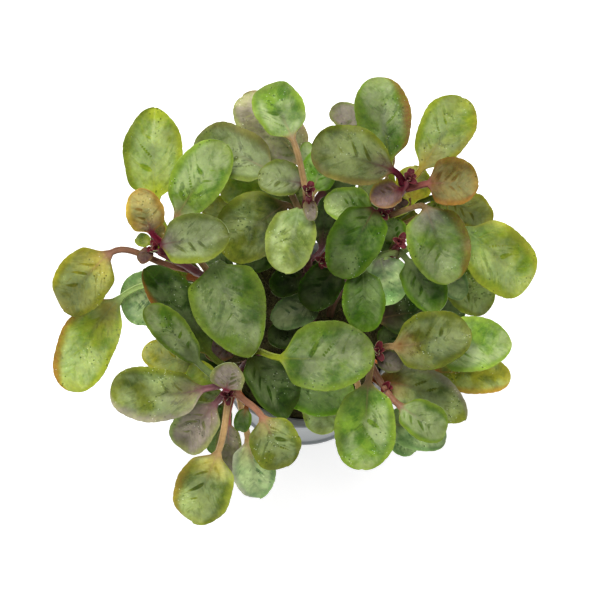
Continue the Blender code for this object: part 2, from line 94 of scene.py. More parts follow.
# %% [markdown]
# ## Small tools for surfaces
#
# Every piece here is a closed skin made of rings: a stem is a row of circles, a leaf a row of flat rings that
# go over its upper side and back under it, and the pot a row of circles that goes up its outside and down its
# inside. One function closes such a row with quads and puts a single point at each end. A skin also carries
# marks, which are numbers for each point, such as how far along the leaf it lies. The materials read them.

# %% Skins from rings
Skin = namedtuple("Skin", "points quads triangles marks quad_slots end_slots")

# A way that no stem or strand runs along, from which a tube's first spoke is worked out
SIDEWAYS = (1.0, 0.03, 0.02)


def unit(vectors):
    """Each vector divided by its length."""
    return vectors / np.linalg.norm(vectors, axis=-1, keepdims=True)


def turn_steps(count):
    """count even angles round a full turn, as one row."""
    return np.linspace(0, 2 * np.pi, count, endpoint=False)[None, :]


def smooth_step(value, low, high):
    """0 below low, 1 above high, and 3t^2 - 2t^3 between them."""
    t = np.clip((value - low) / (high - low), 0, 1)
    return t * t * (3 - 2 * t)


def skin_of(rings, marks, slots=0):
    """Close rings, an array of (row, place round the ring, xyz), into a skin. slots are the numbers of the
    materials, one or one for each quad. Quad (i, j) joins ring i to ring i + 1."""
    rows, around = rings.shape[:2]
    index = np.arange(rows * around).reshape(rows, around)
    turned = np.roll(index, -1, axis=1)
    quads = np.stack([index[:-1], turned[:-1], turned[1:], index[1:]], -1).reshape(-1, 4)
    first, last = rows * around, rows * around + 1
    start_cap = np.stack([np.full(around, first), turned[0], index[0]], -1)
    end_cap = np.stack([np.full(around, last), index[-1], turned[-1]], -1)
    poles = np.stack([rings[0].mean(0), rings[-1].mean(0)])
    points = np.concatenate([rings.reshape(-1, 3), poles])
    full = {key: np.broadcast_to(mark, (rows, around)) for key, mark in marks.items()}
    kept = {key: np.append(mark.ravel(), [mark[0].mean(), mark[-1].mean()]) for key, mark in full.items()}
    quad_slots = np.broadcast_to(slots, (rows - 1, around)).ravel()
    end_slots = np.full(2 * around, quad_slots[0])
    return Skin(points, quads, np.concatenate([start_cap, end_cap]), kept, quad_slots, end_slots)


def tube(line, radius, marks, sides=20, slots=0):
    """A skin round a line of points: each ring is line + radius * (side * cos + other * sin). The radius may
    differ for each row and for each place round it."""
    ways = unit(np.gradient(line, axis=0))
    side = unit(np.cross(ways, SIDEWAYS))
    other = np.cross(ways, side)
    angle = turn_steps(sides)[..., None]
    spoke = side[:, None] * np.cos(angle) + other[:, None] * np.sin(angle)
    reach = np.broadcast_to(radius, (len(line), sides))[..., None]
    return skin_of(line[:, None] + spoke * reach, marks, slots)


def volume_of(skin):
    """Six times the signed volume, the sum over triangles of a . (b x c). Above 0, the faces look out."""
    faces = np.concatenate([skin.triangles, skin.quads[:, :3], skin.quads[:, [0, 2, 3]]])
    a, b, c = (skin.points[faces[:, k]] for k in range(3))
    return float((a * np.cross(b, c)).sum())


# %% A piece from one or more skins
def make_piece(name, skins, materials, node):
    """One mesh of several skins, riding on the root body in place of the solid that it stands for. A mark
    that a skin doesn't carry is 0 on it."""
    offsets = np.cumsum([0] + [len(skin.points) for skin in skins])
    quads = np.concatenate([skin.quads + base for skin, base in zip(skins, offsets)])
    triangles = np.concatenate([skin.triangles + base for skin, base in zip(skins, offsets)])
    mesh = bpy.data.meshes.new(name)
    mesh.from_pydata(np.concatenate([skin.points for skin in skins]), [], quads.tolist() + triangles.tolist())
    slots = np.concatenate([skin.quad_slots for skin in skins] + [skin.end_slots for skin in skins])
    mesh.polygons.foreach_set("material_index", slots.astype(np.int32))
    for key in sorted(set().union(*(skin.marks for skin in skins))):
        values = np.concatenate([skin.marks.get(key, np.zeros(len(skin.points))) for skin in skins])
        mesh.attributes.new(key, "FLOAT", "POINT").data.foreach_set("value", values.astype(np.float32))
    mesh.shade_smooth()
    for material in materials:
        mesh.materials.append(material)
    piece = add_object(name, mesh)
    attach(piece, "root")
    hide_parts(node)


# %% [markdown]
# ## Small tools for materials
#
# The colours below are written as a screen shows them, from 0 to 255, and turned into the linear light that
# Blender counts in. The other helpers each add one node and return its result, so that a finish reads from
# top to bottom like a recipe.


# %% Nodes and colours
def ink(red, green, blue):
    """A screen colour as linear light: each share c becomes ((c + 0.055) / 1.055) ^ 2.4."""
    shares = np.array([red, green, blue]) / 255
    return (*(((shares + 0.055) / 1.055) ** 2.4), 1)


def add_node(tree, kind, sockets, **settings):
    """Add a shader node, set its options, and fill its sockets with numbers or with other nodes' results."""
    fresh = tree.nodes.new("ShaderNode" + kind)
    for key, value in settings.items():
        setattr(fresh, key, value)
    for key, value in sockets.items():
        if isinstance(value, bpy.types.NodeSocket):
            tree.links.new(value, fresh.inputs[key])
        else:
            fresh.inputs[key].default_value = value
    return fresh


def calc(tree, operation, *values):
    """One Math node. MULTIPLY_ADD is first * second + third."""
    return add_node(tree, "Math", dict(enumerate(values)), operation=operation).outputs[0]


def rise(tree, value, low, high):
    """The smooth step above as a node: 0 below low and 1 above high."""
    sockets = {"Value": value, "From Min": low, "From Max": high}
    return add_node(tree, "MapRange", sockets, interpolation_type="SMOOTHSTEP").outputs[0]


def fall(tree, value, low, high):
    """1 below low and 0 above high."""
    return calc(tree, "SUBTRACT", 1.0, rise(tree, value, low, high))


def product(tree, *factors):
    """All the factors multiplied together."""
    result = factors[0]
    for factor in factors[1:]:
        result = calc(tree, "MULTIPLY", result, factor)
    return result


def mix(tree, share, below, above):
    """Colour below where share is 0, and above where it is 1."""
    return add_node(tree, "Mix", {0: share, 6: below, 7: above}, data_type="RGBA").outputs[2]


def layer(tree, colour, above, *shares):
    """Lay one colour over another. Its share is the product of those given."""
    return mix(tree, product(tree, *shares), colour, above)


def place(tree, stretch=(1, 1, 1)):
    """Where a point lies on the finished plant, in metres, with each axis stretched."""
    here = add_node(tree, "TexCoord", {}).outputs["Object"]
    return add_node(tree, "Mapping", {"Vector": here, "Scale": stretch}).outputs[0]


def noise(tree, per_metre, detail, stretch=(1, 1, 1)):
    """Cloudy noise, about 0.5, with per_metre features in a metre."""
    sockets = {"Vector": place(tree, stretch), "Scale": per_metre, "Detail": detail, "Roughness": 0.55}
    return add_node(tree, "TexNoise", sockets).outputs["Fac"]


def cells(tree, per_metre, feature):
    """How far a point lies from the middle of its cell, or from the cell's edge, in cell widths."""
    sockets = {"Vector": place(tree), "Scale": per_metre}
    return add_node(tree, "TexVoronoi", sockets, feature=feature).outputs["Distance"]


def mark(tree, key):
    """The number that the skin carries at this point."""
    return add_node(tree, "Attribute", {}, attribute_name=key).outputs["Fac"]


def start_material(name):
    """A new material, the tree of its nodes, and the shader in it."""
    material = bpy.data.materials.new(name)
    material.use_nodes = True
    tree = material.node_tree
    return material, tree, tree.nodes["Principled BSDF"]


def set_bump(tree, shader, height, distance, strength=1.0):
    """Shade the surface as if the pattern stood out of it, by up to distance metres."""
    sockets = {"Height": height, "Distance": distance, "Strength": strength}
    bump = add_node(tree, "Bump", sockets)
    tree.links.new(bump.outputs[0], shader.inputs["Normal"])


# %% [markdown]
# ## The leaf's finish
#
# A leaf of this plant is never one green. Its edge is lighter and yellower, and the part near the stalk turns
# brown or purple, where the red of the stem runs into it. Streaks of darker green lie between the side veins,
# and dark specks of dirt sit in small groups. The grey sheen of the light on its level parts is painted on as
# colour in patches, with painted glints among the specks. Painted shade darkens the furrows, the crease and
# streaks near the midrib, and broad patches are made lighter and darker as painted light and shade. A painted
# picture could show this, but every leaf would need its own. Here one recipe of nodes lays the colours over
# each other, and it finds its way by the skin's marks.
#
# - `along` is 0 at the neck, 1 at the tip and below 0 on the stalk
# - `across` goes from -1 at the left edge to 1 at the right one
# - `aside` is the distance from the midrib in metres
# - `number` counts the side veins, and `furrow` is 1 in the deepest furrow
# - `heel` is 1 where the stalk leaves its stem

# %% The plant's colours
INKS = {
    "lime": ink(140, 152, 38),
    "straw": ink(170, 150, 56),
    "grass": ink(78, 116, 26),
    "moss": ink(70, 82, 24),
    "tan": ink(140, 114, 76),
    "rust": ink(132, 76, 36),
    "rose": ink(148, 88, 80),
    "salmon": ink(138, 98, 76),
    "wine": ink(92, 22, 40),
    "plum": ink(96, 62, 68),
    "lilac": ink(138, 124, 126),
    "mint": ink(134, 156, 92),
    # The pale green of the undersides, which also serves as the painted sheen: the light's grey reflection
    "pale_and_sheen": ink(148, 162, 114),
    # Painted shade for the furrows, the crease and streaks by the midrib, and the colour of dark dots of dirt
    "shade_and_dots": ink(22, 42, 10),
    # Painted glints: small highlights laid on as colour
    "painted_glint": ink(206, 214, 190),
}

# The inks of the blade's middle, mottling, edge and painted sheen, and how much painted sheen there is,
# which also sets how much the leaf mirrors
Finish = namedtuple("Finish", "middle mottle edge film wax")
FINISHES = {
    "spring": Finish(ink(128, 142, 36), ink(98, 124, 24), ink(152, 156, 46), "pale_and_sheen", 0.6),
    "apple": Finish(ink(100, 130, 36), ink(70, 106, 20), ink(130, 148, 48), "pale_and_sheen", 0.8),
    "fern": Finish(ink(70, 108, 22), ink(48, 84, 12), ink(104, 132, 34), "pale_and_sheen", 0.4),
    "forest": Finish(ink(42, 66, 18), ink(27, 47, 11), ink(70, 90, 24), "pale_and_sheen", 0.25),
    "sage": Finish(ink(104, 118, 50), ink(78, 96, 30), ink(122, 132, 54), "pale_and_sheen", 0.8),
    "teal": Finish(ink(88, 116, 70), ink(64, 92, 48), ink(116, 138, 86), "pale_and_sheen", 0.8),
    "moss": Finish(ink(90, 100, 28), ink(60, 76, 15), ink(116, 120, 38), "pale_and_sheen", 0.45),
    "olive": Finish(ink(122, 120, 28), ink(88, 94, 17), ink(146, 136, 38), "pale_and_sheen", 0.4),
    "bronze": Finish(ink(122, 98, 46), ink(92, 76, 30), ink(146, 112, 44), "pale_and_sheen", 0.3),
    "plum": Finish(ink(106, 78, 66), ink(78, 52, 50), ink(132, 100, 52), "lilac", 0.3),
    "dusk": Finish(ink(106, 104, 74), ink(84, 80, 56), ink(120, 126, 64), "lilac", 0.5),
    "bud": Finish(ink(104, 32, 46), ink(74, 20, 34), ink(122, 60, 58), "lilac", 0.1),
}

# tone: how light the leaf is, 1 for its finish as it is written. The low tones of the leaves deep in the
# middle are painted shade
# base: the ink that the blade turns to near its neck
# stalk: the stalk's ink
# side tint: an ink that one side of the blade turns to: a real red-brown or yellow flush on some leaves,
# painted shade on others, and on a few the light's grey reflection painted along that side
# side: how strong that tint is, and below 0 where it lies on the left
# stout: the stalk's width as a share of the usual
Look = namedtuple("Look", "finish tone base stalk blush side stout", defaults=(None, 0, 1))

# %% Mix the leaf's layers
# How many features of each pattern there are in a metre, from the broadest to the finest
BROAD_LIGHT_AND_SHADE = 75
SHEEN_PATCHES = 95
CLUSTERS = 150
PATCHES = 170
BREAKS = 260
LUMPINESS = 420
NET = 620
DOTS = 850
SPECKS = 900
PAINTED_GLINTS = 1100
GRAIN = 2200

STREAKS_PER_VEIN = 1.7
STREAK_STRETCH = 320
LEAF_BUMP = 0.3 * MM
UNDERSIDE_BUMP = 0.15 * MM


def streaks(tree):
    """Noise drawn out along the side veins: fine from vein to vein, and slow from the midrib to the edge."""
    over = product(tree, mark(tree, "number"), STREAKS_PER_VEIN)
    drawn = add_node(tree, "CombineXYZ", {0: over, 1: product(tree, mark(tree, "aside"), STREAK_STRETCH)})
    sockets = {"Vector": drawn.outputs[0], "Scale": 1.0, "Detail": 3, "Roughness": 0.6}
    return add_node(tree, "TexNoise", sockets).outputs["Fac"]


def blade_colour(tree, look):
    """The leaf's layers in order, each laid over the last, and all of them times the leaf's tone. Where a
    range follows along or across it is in shares of the blade, and a last number is the layer's strength."""
    finish = FINISHES[look.finish]
    along, across, aside, heel = (mark(tree, key) for key in ("along", "across", "aside", "heel"))
    furrow = mark(tree, "furrow")
    streak = streaks(tree)
    patch = noise(tree, PATCHES, 3)

    # How far out and how near the tip a point is. Both stray with the patches, so no border runs straight
    stray = calc(tree, "MULTIPLY_ADD", patch, 0.6, -0.3)
    out = calc(tree, "MULTIPLY_ADD", stray, 0.6, calc(tree, "ABSOLUTE", across))
    tipward = calc(tree, "MULTIPLY_ADD", stray, 0.4, along)
    inner = product(tree, fall(tree, out, 0.3, 0.85), fall(tree, tipward, 0.4, 0.9))

    # The mottled green, and the painted sheen, the light's grey reflection laid on as colour in patches,
    # which leaves the edge and the furrows free
    colour = mix(tree, rise(tree, patch, 0.45, 0.58), finish.middle, finish.mottle)
    cloudy = rise(tree, noise(tree, SHEEN_PATCHES, 5), 0.38, 0.54)
    film = product(tree, cloudy, fall(tree, out, 0.6, 0.9), finish.wax)
    colour = layer(tree, colour, INKS[finish.film], film, fall(tree, furrow, 0.2, 0.5))

    # Streaks between the veins, and painted shade: darker streaks in groups near the midrib, and the crease
    # beside it
    streaky = rise(tree, streak, 0.52, 0.6)
    colour = layer(tree, colour, finish.mottle, streaky, fall(tree, out, 0.6, 1.0), 0.35)
    gathered = rise(tree, noise(tree, CLUSTERS, 3), 0.44, 0.54)
    colour = layer(tree, colour, INKS["shade_and_dots"], rise(tree, streak, 0.54, 0.62), inner, gathered, 0.45)
    crease = fall(tree, calc(tree, "ABSOLUTE", aside), 0.1 * MM, 1.1 * MM)
    colour = layer(tree, colour, INKS["shade_and_dots"], crease, fall(tree, tipward, 0.25, 0.75), 0.4)

    # The edge, the base, and one side's tint: a real flush on some leaves, painted shade on others, and on
    # a few the light's grey reflection painted along that side
    outward = calc(tree, "MAXIMUM", rise(tree, out, 0.68, 1.02), rise(tree, tipward, 0.8, 1.02))
    colour = layer(tree, colour, finish.edge, outward, 0.6)
    near_neck = fall(tree, tipward, 0.0, 0.4)
    colour = layer(tree, colour, INKS[look.base], near_neck, fall(tree, out, 0.25, 0.95), 0.6)
    if look.blush:
        sided = calc(tree, "MULTIPLY_ADD", across, math.copysign(1, look.side), stray)
        colour = layer(tree, colour, INKS[look.blush], rise(tree, sided, 0.55, 1.0), abs(look.side))

    # Pale side veins and the net between them, and strokes of painted shade here and there in the furrows
    vein = fall(tree, calc(tree, "PINGPONG", mark(tree, "number"), 0.5), 0.01, 0.06)
    colour = layer(tree, colour, finish.edge, vein, fall(tree, out, 0.5, 1.0), 0.2)
    net = fall(tree, cells(tree, NET, "DISTANCE_TO_EDGE"), 0.0, 0.09)
    colour = layer(tree, colour, finish.edge, net, 0.15)
    broken = rise(tree, noise(tree, BREAKS, 3), 0.36, 0.52)
    stroke = rise(tree, product(tree, furrow, broken), 0.1, 0.9)
    colour = layer(tree, colour, INKS["shade_and_dots"], stroke, 0.4)

    # Groups of dark dots, as wet dirt makes them, and painted glints among them, small highlights laid on
    # as colour
    clustered = rise(tree, noise(tree, CLUSTERS, 2), 0.52, 0.62)
    dots = fall(tree, cells(tree, DOTS, "F1"), 0.12, 0.26)
    colour = layer(tree, colour, INKS["shade_and_dots"], dots, clustered, 0.7)
    painted_glints = fall(tree, cells(tree, PAINTED_GLINTS, "F1"), 0.08, 0.2)
    colour = layer(tree, colour, INKS["painted_glint"], painted_glints, clustered, 0.4)

    # The midrib in the stalk's ink, the stalk, and the stem's red at its heel
    rib = fall(tree, calc(tree, "ABSOLUTE", aside), 0.06 * MM, 0.34 * MM)
    colour = layer(tree, colour, INKS[look.stalk], rib, fall(tree, along, 0.0, 0.45), 0.4)
    colour = layer(tree, colour, INKS[look.stalk], fall(tree, along, -0.06, 0.08))
    colour = layer(tree, colour, INKS["wine"], heel, 0.7)

    # Fine differences in the depth of green, and broad lighter and darker patches of painted light and shade
    fine = calc(tree, "MULTIPLY_ADD", noise(tree, SPECKS, 3), 0.8 * look.tone, 0.6 * look.tone)
    deep = rise(tree, noise(tree, BROAD_LIGHT_AND_SHADE, 2), 0.36, 0.64)
    depth = product(tree, fine, calc(tree, "MULTIPLY_ADD", deep, 0.6, 0.75))
    return add_node(tree, "VectorMath", {0: colour, "Scale": depth}, operation="SCALE").outputs[0]


def leaf_finish(name, look):
    """The leaf's upper side: satin, uneven in gloss, with small lumps and a fine grain of cells. A leaf with
    more painted sheen in its colour, and a lighter one, also mirrors more, and a little light goes through
    it."""
    material, tree, shader = start_material(name)
    tree.links.new(blade_colour(tree, look), shader.inputs["Base Color"])
    dullness = calc(tree, "MULTIPLY_ADD", noise(tree, PATCHES, 2), 0.3, 0.26)
    tree.links.new(dullness, shader.inputs["Roughness"])
    height = calc(tree, "MULTIPLY_ADD", cells(tree, GRAIN, "F1"), 0.12, noise(tree, LUMPINESS, 5))
    set_bump(tree, shader, height, LEAF_BUMP, 0.6)
    shader.inputs["Specular IOR Level"].default_value = 0.3 * FINISHES[look.finish].wax * look.tone
    shader.inputs["Subsurface Weight"].default_value = 0.12
    shader.inputs["Subsurface Radius"].default_value = (0.6, 1.0, 0.3)
    shader.inputs["Subsurface Scale"].default_value = 1 * MM
    return material


def under_finish(name, finish):
    """The underside: duller and paler, with raised veins, and flushed with purple near the stalk."""
    material, tree, shader = start_material(name)
    patch = noise(tree, PATCHES, 3)
    colour = mix(tree, rise(tree, patch, 0.35, 0.65), finish.middle, INKS["pale_and_sheen"])
    flush = fall(tree, mark(tree, "along"), 0.0, 0.9)
    colour = layer(tree, colour, INKS["plum"], flush, rise(tree, patch, 0.3, 0.6), 0.7)
    vein = fall(tree, calc(tree, "PINGPONG", mark(tree, "number"), 0.5), 0.02, 0.09)
    colour = layer(tree, colour, INKS["mint"], vein, 0.5)
    tree.links.new(colour, shader.inputs["Base Color"])
    shader.inputs["Roughness"].default_value = 0.6
    set_bump(tree, shader, calc(tree, "ADD", vein, patch), UNDERSIDE_BUMP, 0.6)
    return material


UNDERSIDES = {kind: under_finish(f"{kind}_underside", finish) for kind, finish in FINISHES.items()}
print("kinds of leaf:", len(FINISHES))

# %% [markdown]
# ## Where the stems and leaves are
#
# A stem leaves the wool straight up and leans over towards its growing tip. A leaf is given by the pixels
# and heights of its neck, where stalk and blade meet, and of its tip, by its width and by how it is folded,
# cupped, arched and turned. These are the places of the solids, so each finer leaf lies where its solid is.
# In ten leaves the taper, and in four of these the width, is set a little more closely than in the solids.

# %% The stems
PLUG_TOP = 46.5 * MM
CURVE_REACH = 0.38

# root: where it leaves the wool, in mm. crown: its growing tip's pixel. height: the tip's, in mm. lean: how
# far the tip leans over, 0 upright and 1 level.
Shoot = namedtuple("Shoot", "root crown height lean")
SHOOTS = {
    "left": Shoot((-11, 3), (156, 250), 88, 0.7),
    "front_left": Shoot((-14, -8), (228, 395), 88, 0.35),
    "front": Shoot((-5, -13), (250, 348), 81, 0.2),
    "front_right": Shoot((10, -9), (377, 352), 86, 0.4),
    "right": Shoot((15.5, 8), (399, 243), 87, 0.2),
    "back_right": Shoot((11, 13), (409, 180), 98, 0.4),
    "middle": Shoot((7, 6), (383, 215), 90, 0.3),
    "back": Shoot((1, 15), (309, 193), 98, 0.3),
    "centre": Shoot((1, -1), (322, 262), 74, 0.1),
}


def curve_between(start, start_way, end, end_way, share):
    """A cubic curve: (1-t)^3 a + 3t(1-t)^2 b + 3t^2(1-t) c + t^3 d, with b and c along the two ways."""
    t = np.asarray(share, float)[:, None]
    reach = np.linalg.norm(end - start) * CURVE_REACH
    second = start + unit(start_way) * reach
    third = end - unit(end_way) * reach
    return (1 - t) ** 3 * start + 3 * t * (1 - t) ** 2 * second + 3 * t**2 * (1 - t) * third + t**3 * end


def stem_line(shoot, share):
    """Points along a stem, share 0 at the wool and 1 at its growing tip."""
    root = np.array([shoot.root[0] * MM, shoot.root[1] * MM, PLUG_TOP])
    crown = seen_at(shoot.crown, shoot.height * MM)
    across = crown - root
    across[2] = 0
    end_way = unit(across) * shoot.lean + np.array([0, 0, 1 - shoot.lean])
    return curve_between(root, np.array([0.0, 0, 1]), crown, end_way, share)


print("stems:", len(SHOOTS))

# %% The leaves' places
# joint: how far up its stem the leaf sits, as a share. neck, tip: their pixels. heights: theirs, in mm.
# width: the blade's, in mm. taper: low for a blade that starts wide, high for one that narrows to its neck.
# fold: how far each half is raised, in degrees. cup: how far the edges curl up, as a share of half the
# width. arch, bow: how far the midrib rises and how far it bends to the right, as shares of the blade's
# length. roll: how far the blade tips over its right edge, in degrees. A row leaves out the last values that
# are usual.
Leaf = namedtuple(
    "Leaf", "joint neck tip heights width taper fold cup arch bow roll", defaults=(0.5, 8, 0.1, 0.05, 0, 0)
)

LEAVES = {
    "left": [
        Leaf(0.78, (155, 197), (155, 108), (82, 85), 16.3, 0.62, 22, 0.1, 0.05, -0.02),
        Leaf(0.88, (151, 231), (138, 189), (89, 97), 9.5, 0.5, 8, 0.1, 0.04),
        Leaf(0.98, (163, 244), (229, 236), (92, 95), 13, 0.5, 10, 0.1, 0.04),
        Leaf(0.68, (178, 214), (226, 144), (83, 90), 14, 0.65, 16, 0.1, 0.04),
        Leaf(0.82, (106, 256), (62, 309), (85, 75), 14.6, 0.46, 4, -0.1, 0.12),
        Leaf(0.56, (116, 302), (72, 392), (68, 60), 15, 0.6, 8, 0.0, 0.08, 0.07),
        Leaf(0.46, (217, 267), (250, 357), (86, 86), 18.8, 0.42, 10, 0.05),
    ],
    "front_left": [
        Leaf(0.62, (207, 349), (145, 268), (76, 84), 14.5, 0.5, 36, 0.0, 0.04, 0, 10),
        Leaf(0.86, (198, 362), (146, 307), (86, 92), 9, 0.8, 24, 0.2, 0.08),
        Leaf(0.40, (195, 365), (142, 351), (66, 64), 9, 0.5, 6, 0.1, 0.04),
        Leaf(0.78, (200, 390), (111, 385), (80, 76), 14, 0.6, 12, 0.1, 0.06, -0.07, -14),
        Leaf(0.97, (226, 389), (232, 363), (94, 98), 8.5, 0.4, 10, 0.1, 0.0),
        Leaf(0.60, (213, 406), (180, 448), (74, 66), 11.5, 0.5, 12, 0.1, 0.08),
        Leaf(0.93, (216, 457), (191, 521), (84, 76), 14.5, 0.5, 10, 0.0, 0.08),
        Leaf(0.88, (264, 420), (286, 467), (80, 74), 12.8, 0.5, 10, 0.0, 0.06),
        Leaf(0.70, (249, 443), (259, 498), (68, 60), 11.5, 0.6, 18, 0.0, 0.06),
    ],
    "front": [
        Leaf(0.80, (252, 359), (293, 410), (80, 72), 14, 0.5, 24, 0.15, 0.03, 0.06, -16),
        Leaf(0.97, (284, 358), (374, 349), (90, 93), 17.5, 0.5, 7, 0.05, 0.04, 0.05),
        Leaf(0.50, (284, 385), (354, 397), (69, 68), 13, 0.5, 8, 0.0, 0.06),
        Leaf(0.30, (322, 384), (322, 435), (61, 57), 10.5, 0.5, 6, 0.0),
    ],
    "front_right": [
        Leaf(0.93, (368, 386), (362, 469), (83, 73), 15.5, 0.55, 7, 0.0, 0.07),
        Leaf(0.82, (402, 407), (446, 432), (80, 78), 10.5, 0.6, 20, 0.1, 0.06, 0.04),
        Leaf(0.50, (384, 421), (446, 440), (65, 60), 10.5, 0.5, 10, 0.0),
        Leaf(0.74, (380, 381), (464, 421), (77, 72), 13, 0.6, 22, 0.1, 0.06, -0.1, 12),
        Leaf(0.97, (396, 346), (469, 327), (90, 92), 14.5, 0.5, 9, 0.05, 0.05, 0.06),
        Leaf(0.84, (438, 350), (512, 343), (82, 79), 14.5, 0.5, 8, 0.0, 0.08),
        Leaf(0.62, (438, 372), (511, 377), (71, 68), 10.5, 0.5, 8, 0.0, 0.07),
    ],
    "right": [
        Leaf(0.93, (363, 272), (366, 332), (87, 84), 10.8, 0.5, 8, 0.05, 0.06),
        Leaf(0.80, (380, 257), (390, 305), (81, 76), 11.5, 0.5, 8, 0.05, 0.05, 0, -6),
        Leaf(0.92, (409, 262), (438, 311), (84, 83), 11, 0.5, 18, 0.05),
        Leaf(0.86, (469, 232), (528, 287), (86, 78), 16.8, 0.5, 10, 0.0, 0.08),
        Leaf(0.45, (447, 274), (490, 309), (66, 63), 12, 0.5, 16, 0.05, 0.06),
        Leaf(0.12, (380, 318), (464, 306), (64, 56), 13, 0.5, 8, 0.05),
    ],
    "back_right": [
        Leaf(0.86, (389, 158), (376, 77), (94, 96), 14, 0.57, 8, 0.05, 0.06),
        Leaf(0.93, (423, 166), (463, 98), (96, 95), 13.6, 0.68, 9, 0.05, 0.06, 0.02),
        Leaf(0.96, (430, 183), (478, 184), (100, 101), 12.5, 0.45, 7, 0.05, 0.03),
        Leaf(0.98, (391, 169), (312, 147), (102, 103), 15, 0.66, 8, 0.05),
        Leaf(0.90, (400, 189), (371, 201), (96, 97), 7.5, 0.5, 12, 0.1, 0.03),
        Leaf(0.72, (412, 200), (413, 166), (86, 87), 9.5, 0.4, 8, 0.05),
        Leaf(0.80, (427, 210), (451, 283), (94, 92), 15.5, 0.45, 8, 0.05),
        Leaf(0.64, (448, 200), (491, 222), (83, 79), 9.5, 0.5, 14, 0.05),
    ],
    "middle": [
        Leaf(0.96, (374, 210), (338, 277), (92.5, 89), 13.5, 0.45, 12, 0.1, 0.08),
        Leaf(0.78, (371, 210), (324, 203), (86, 89), 10, 0.45, 12),
    ],
    "back": [
        Leaf(0.95, (291, 135), (266, 85), (100, 96), 12.6, 0.5, 12, 0.0, 0.06),
        Leaf(0.66, (300, 160), (242, 97), (82, 78), 14.5, 0.5, 8, 0.05, 0.06),
        Leaf(0.72, (269, 170), (196, 138), (86, 80), 13.8, 0.5, 9, 0.05, 0.07),
        Leaf(0.84, (301, 183), (258, 177), (92, 91), 9.5, 0.5, 12, 0.05),
        Leaf(0.78, (299, 210), (284, 273), (91, 89), 12.6, 0.5, 12, 0.05),
        Leaf(0.62, (283, 206), (221, 252), (82, 77), 17, 0.5, 8, 0.05, 0.06),
    ],
}

# %% The small leaves' places
SMALL_LEAVES = {
    "left": [
        Leaf(0.95, (152, 250), (139, 262), (87, 86), 3.6, 0.5, 10, 0.1, 0.1),
        Leaf(0.90, (150, 243), (136, 238), (87, 86), 3.6, 0.5, 10, 0.1, 0.1),
        Leaf(0.42, (187, 276), (160, 270), (68, 69), 8),
        Leaf(0.28, (205, 275), (178, 298), (60, 59), 9),
        Leaf(0.38, (164, 297), (121, 301), (65, 65), 14.5, 0.5, 8, 0.1, 0.04),
    ],
    "front_left": [
        Leaf(0.80, (246, 409), (240, 431), (80, 76), 4.4, 0.5, 10, 0.1, 0.1),
        Leaf(0.50, (214, 381), (188, 368), (71, 70), 6.5),
        Leaf(0.48, (228, 425), (230, 478), (66, 60), 7, 0.5, 10),
    ],
    "front": [
        Leaf(0.34, (268, 364), (301, 392), (62, 61), 7.5, 0.5, 14),
        Leaf(0.65, (236, 347), (205, 352), (72, 70), 7),
    ],
    "front_right": [
        Leaf(0.85, (378, 357), (403, 366), (84, 84), 5.8, 0.5, 10),
    ],
    "right": [
        Leaf(0.88, (395, 241), (391, 218), (84, 86), 7.2, 0.5, 22),
        Leaf(0.60, (438, 266), (464, 297), (76, 73), 7.5),
    ],
    "back_right": [
        Leaf(0.60, (378, 131), (330, 110), (82, 82), 8, 0.5, 8, 0.05),
        Leaf(0.50, (389, 226), (416, 212), (76, 76), 6.5),
    ],
    "back": [
        Leaf(0.96, (309, 200), (312, 221), (96, 95), 3.6, 0.5, 12, 0.1, 0.1),
        Leaf(0.76, (313, 190), (327, 149), (87, 89), 9.5, 0.5, 14),
        Leaf(0.50, (284, 198), (221, 190), (76, 72), 10),
        Leaf(0.56, (324, 191), (354, 173), (79, 80), 9),
    ],
    "centre": [
        Leaf(0.70, (337, 268), (306, 308), (71, 69), 10.5, 0.5, 8, 0.1, 0.06),
        Leaf(0.62, (318, 303), (272, 322), (63, 62), 9),
        Leaf(0.40, (304, 335), (268, 335), (57, 56), 8),
        Leaf(0.72, (303, 276), (271, 289), (66, 64), 8),
    ],
}

# Low or half hidden ones, which show only between the others and have no solids
LOW_LEAVES = {
    "left": [
        Leaf(0.40, (232, 268), (203, 257), (62, 61), 6),
        Leaf(0.92, (157, 246), (161, 224), (84, 84), 3.8, 0.5, 10),
    ],
    "front_left": [
        Leaf(0.62, (224, 397), (190, 396), (71, 69), 5),
        Leaf(0.55, (225, 404), (214, 454), (65, 58), 6.5, 0.5, 10),
        Leaf(0.50, (221, 372), (199, 354), (67, 66), 6),
    ],
    "front_right": [
        Leaf(0.40, (385, 428), (414, 453), (57, 55), 7),
        Leaf(0.50, (381, 346), (401, 327), (62, 60), 7),
    ],
    "right": [
        Leaf(0.85, (395, 247), (380, 245), (80, 80), 4.5, 0.5, 10),
    ],
    "back_right": [
        Leaf(0.55, (423, 214), (451, 203), (79, 78), 4.6),
        Leaf(0.80, (405, 193), (400, 212), (86, 84), 4.5),
    ],
    "middle": [
        Leaf(0.70, (378, 208), (362, 183), (82, 82), 6),
    ],
    "back": [
        Leaf(0.30, (322, 244), (327, 194), (60, 58), 7.2),
        Leaf(0.42, (254, 218), (200, 205), (68, 66), 7.5),
        Leaf(0.72, (308, 178), (307, 142), (85, 86), 4.6),
        Leaf(0.45, (300, 213), (298, 184), (72, 72), 4.2),
        Leaf(0.35, (286, 240), (238, 268), (60, 59), 9),
    ],
}
for name, leaves in (("full", LEAVES), ("small", SMALL_LEAVES), ("low", LOW_LEAVES)):
    print(name, "leaves:", sum(map(len, leaves.values())))
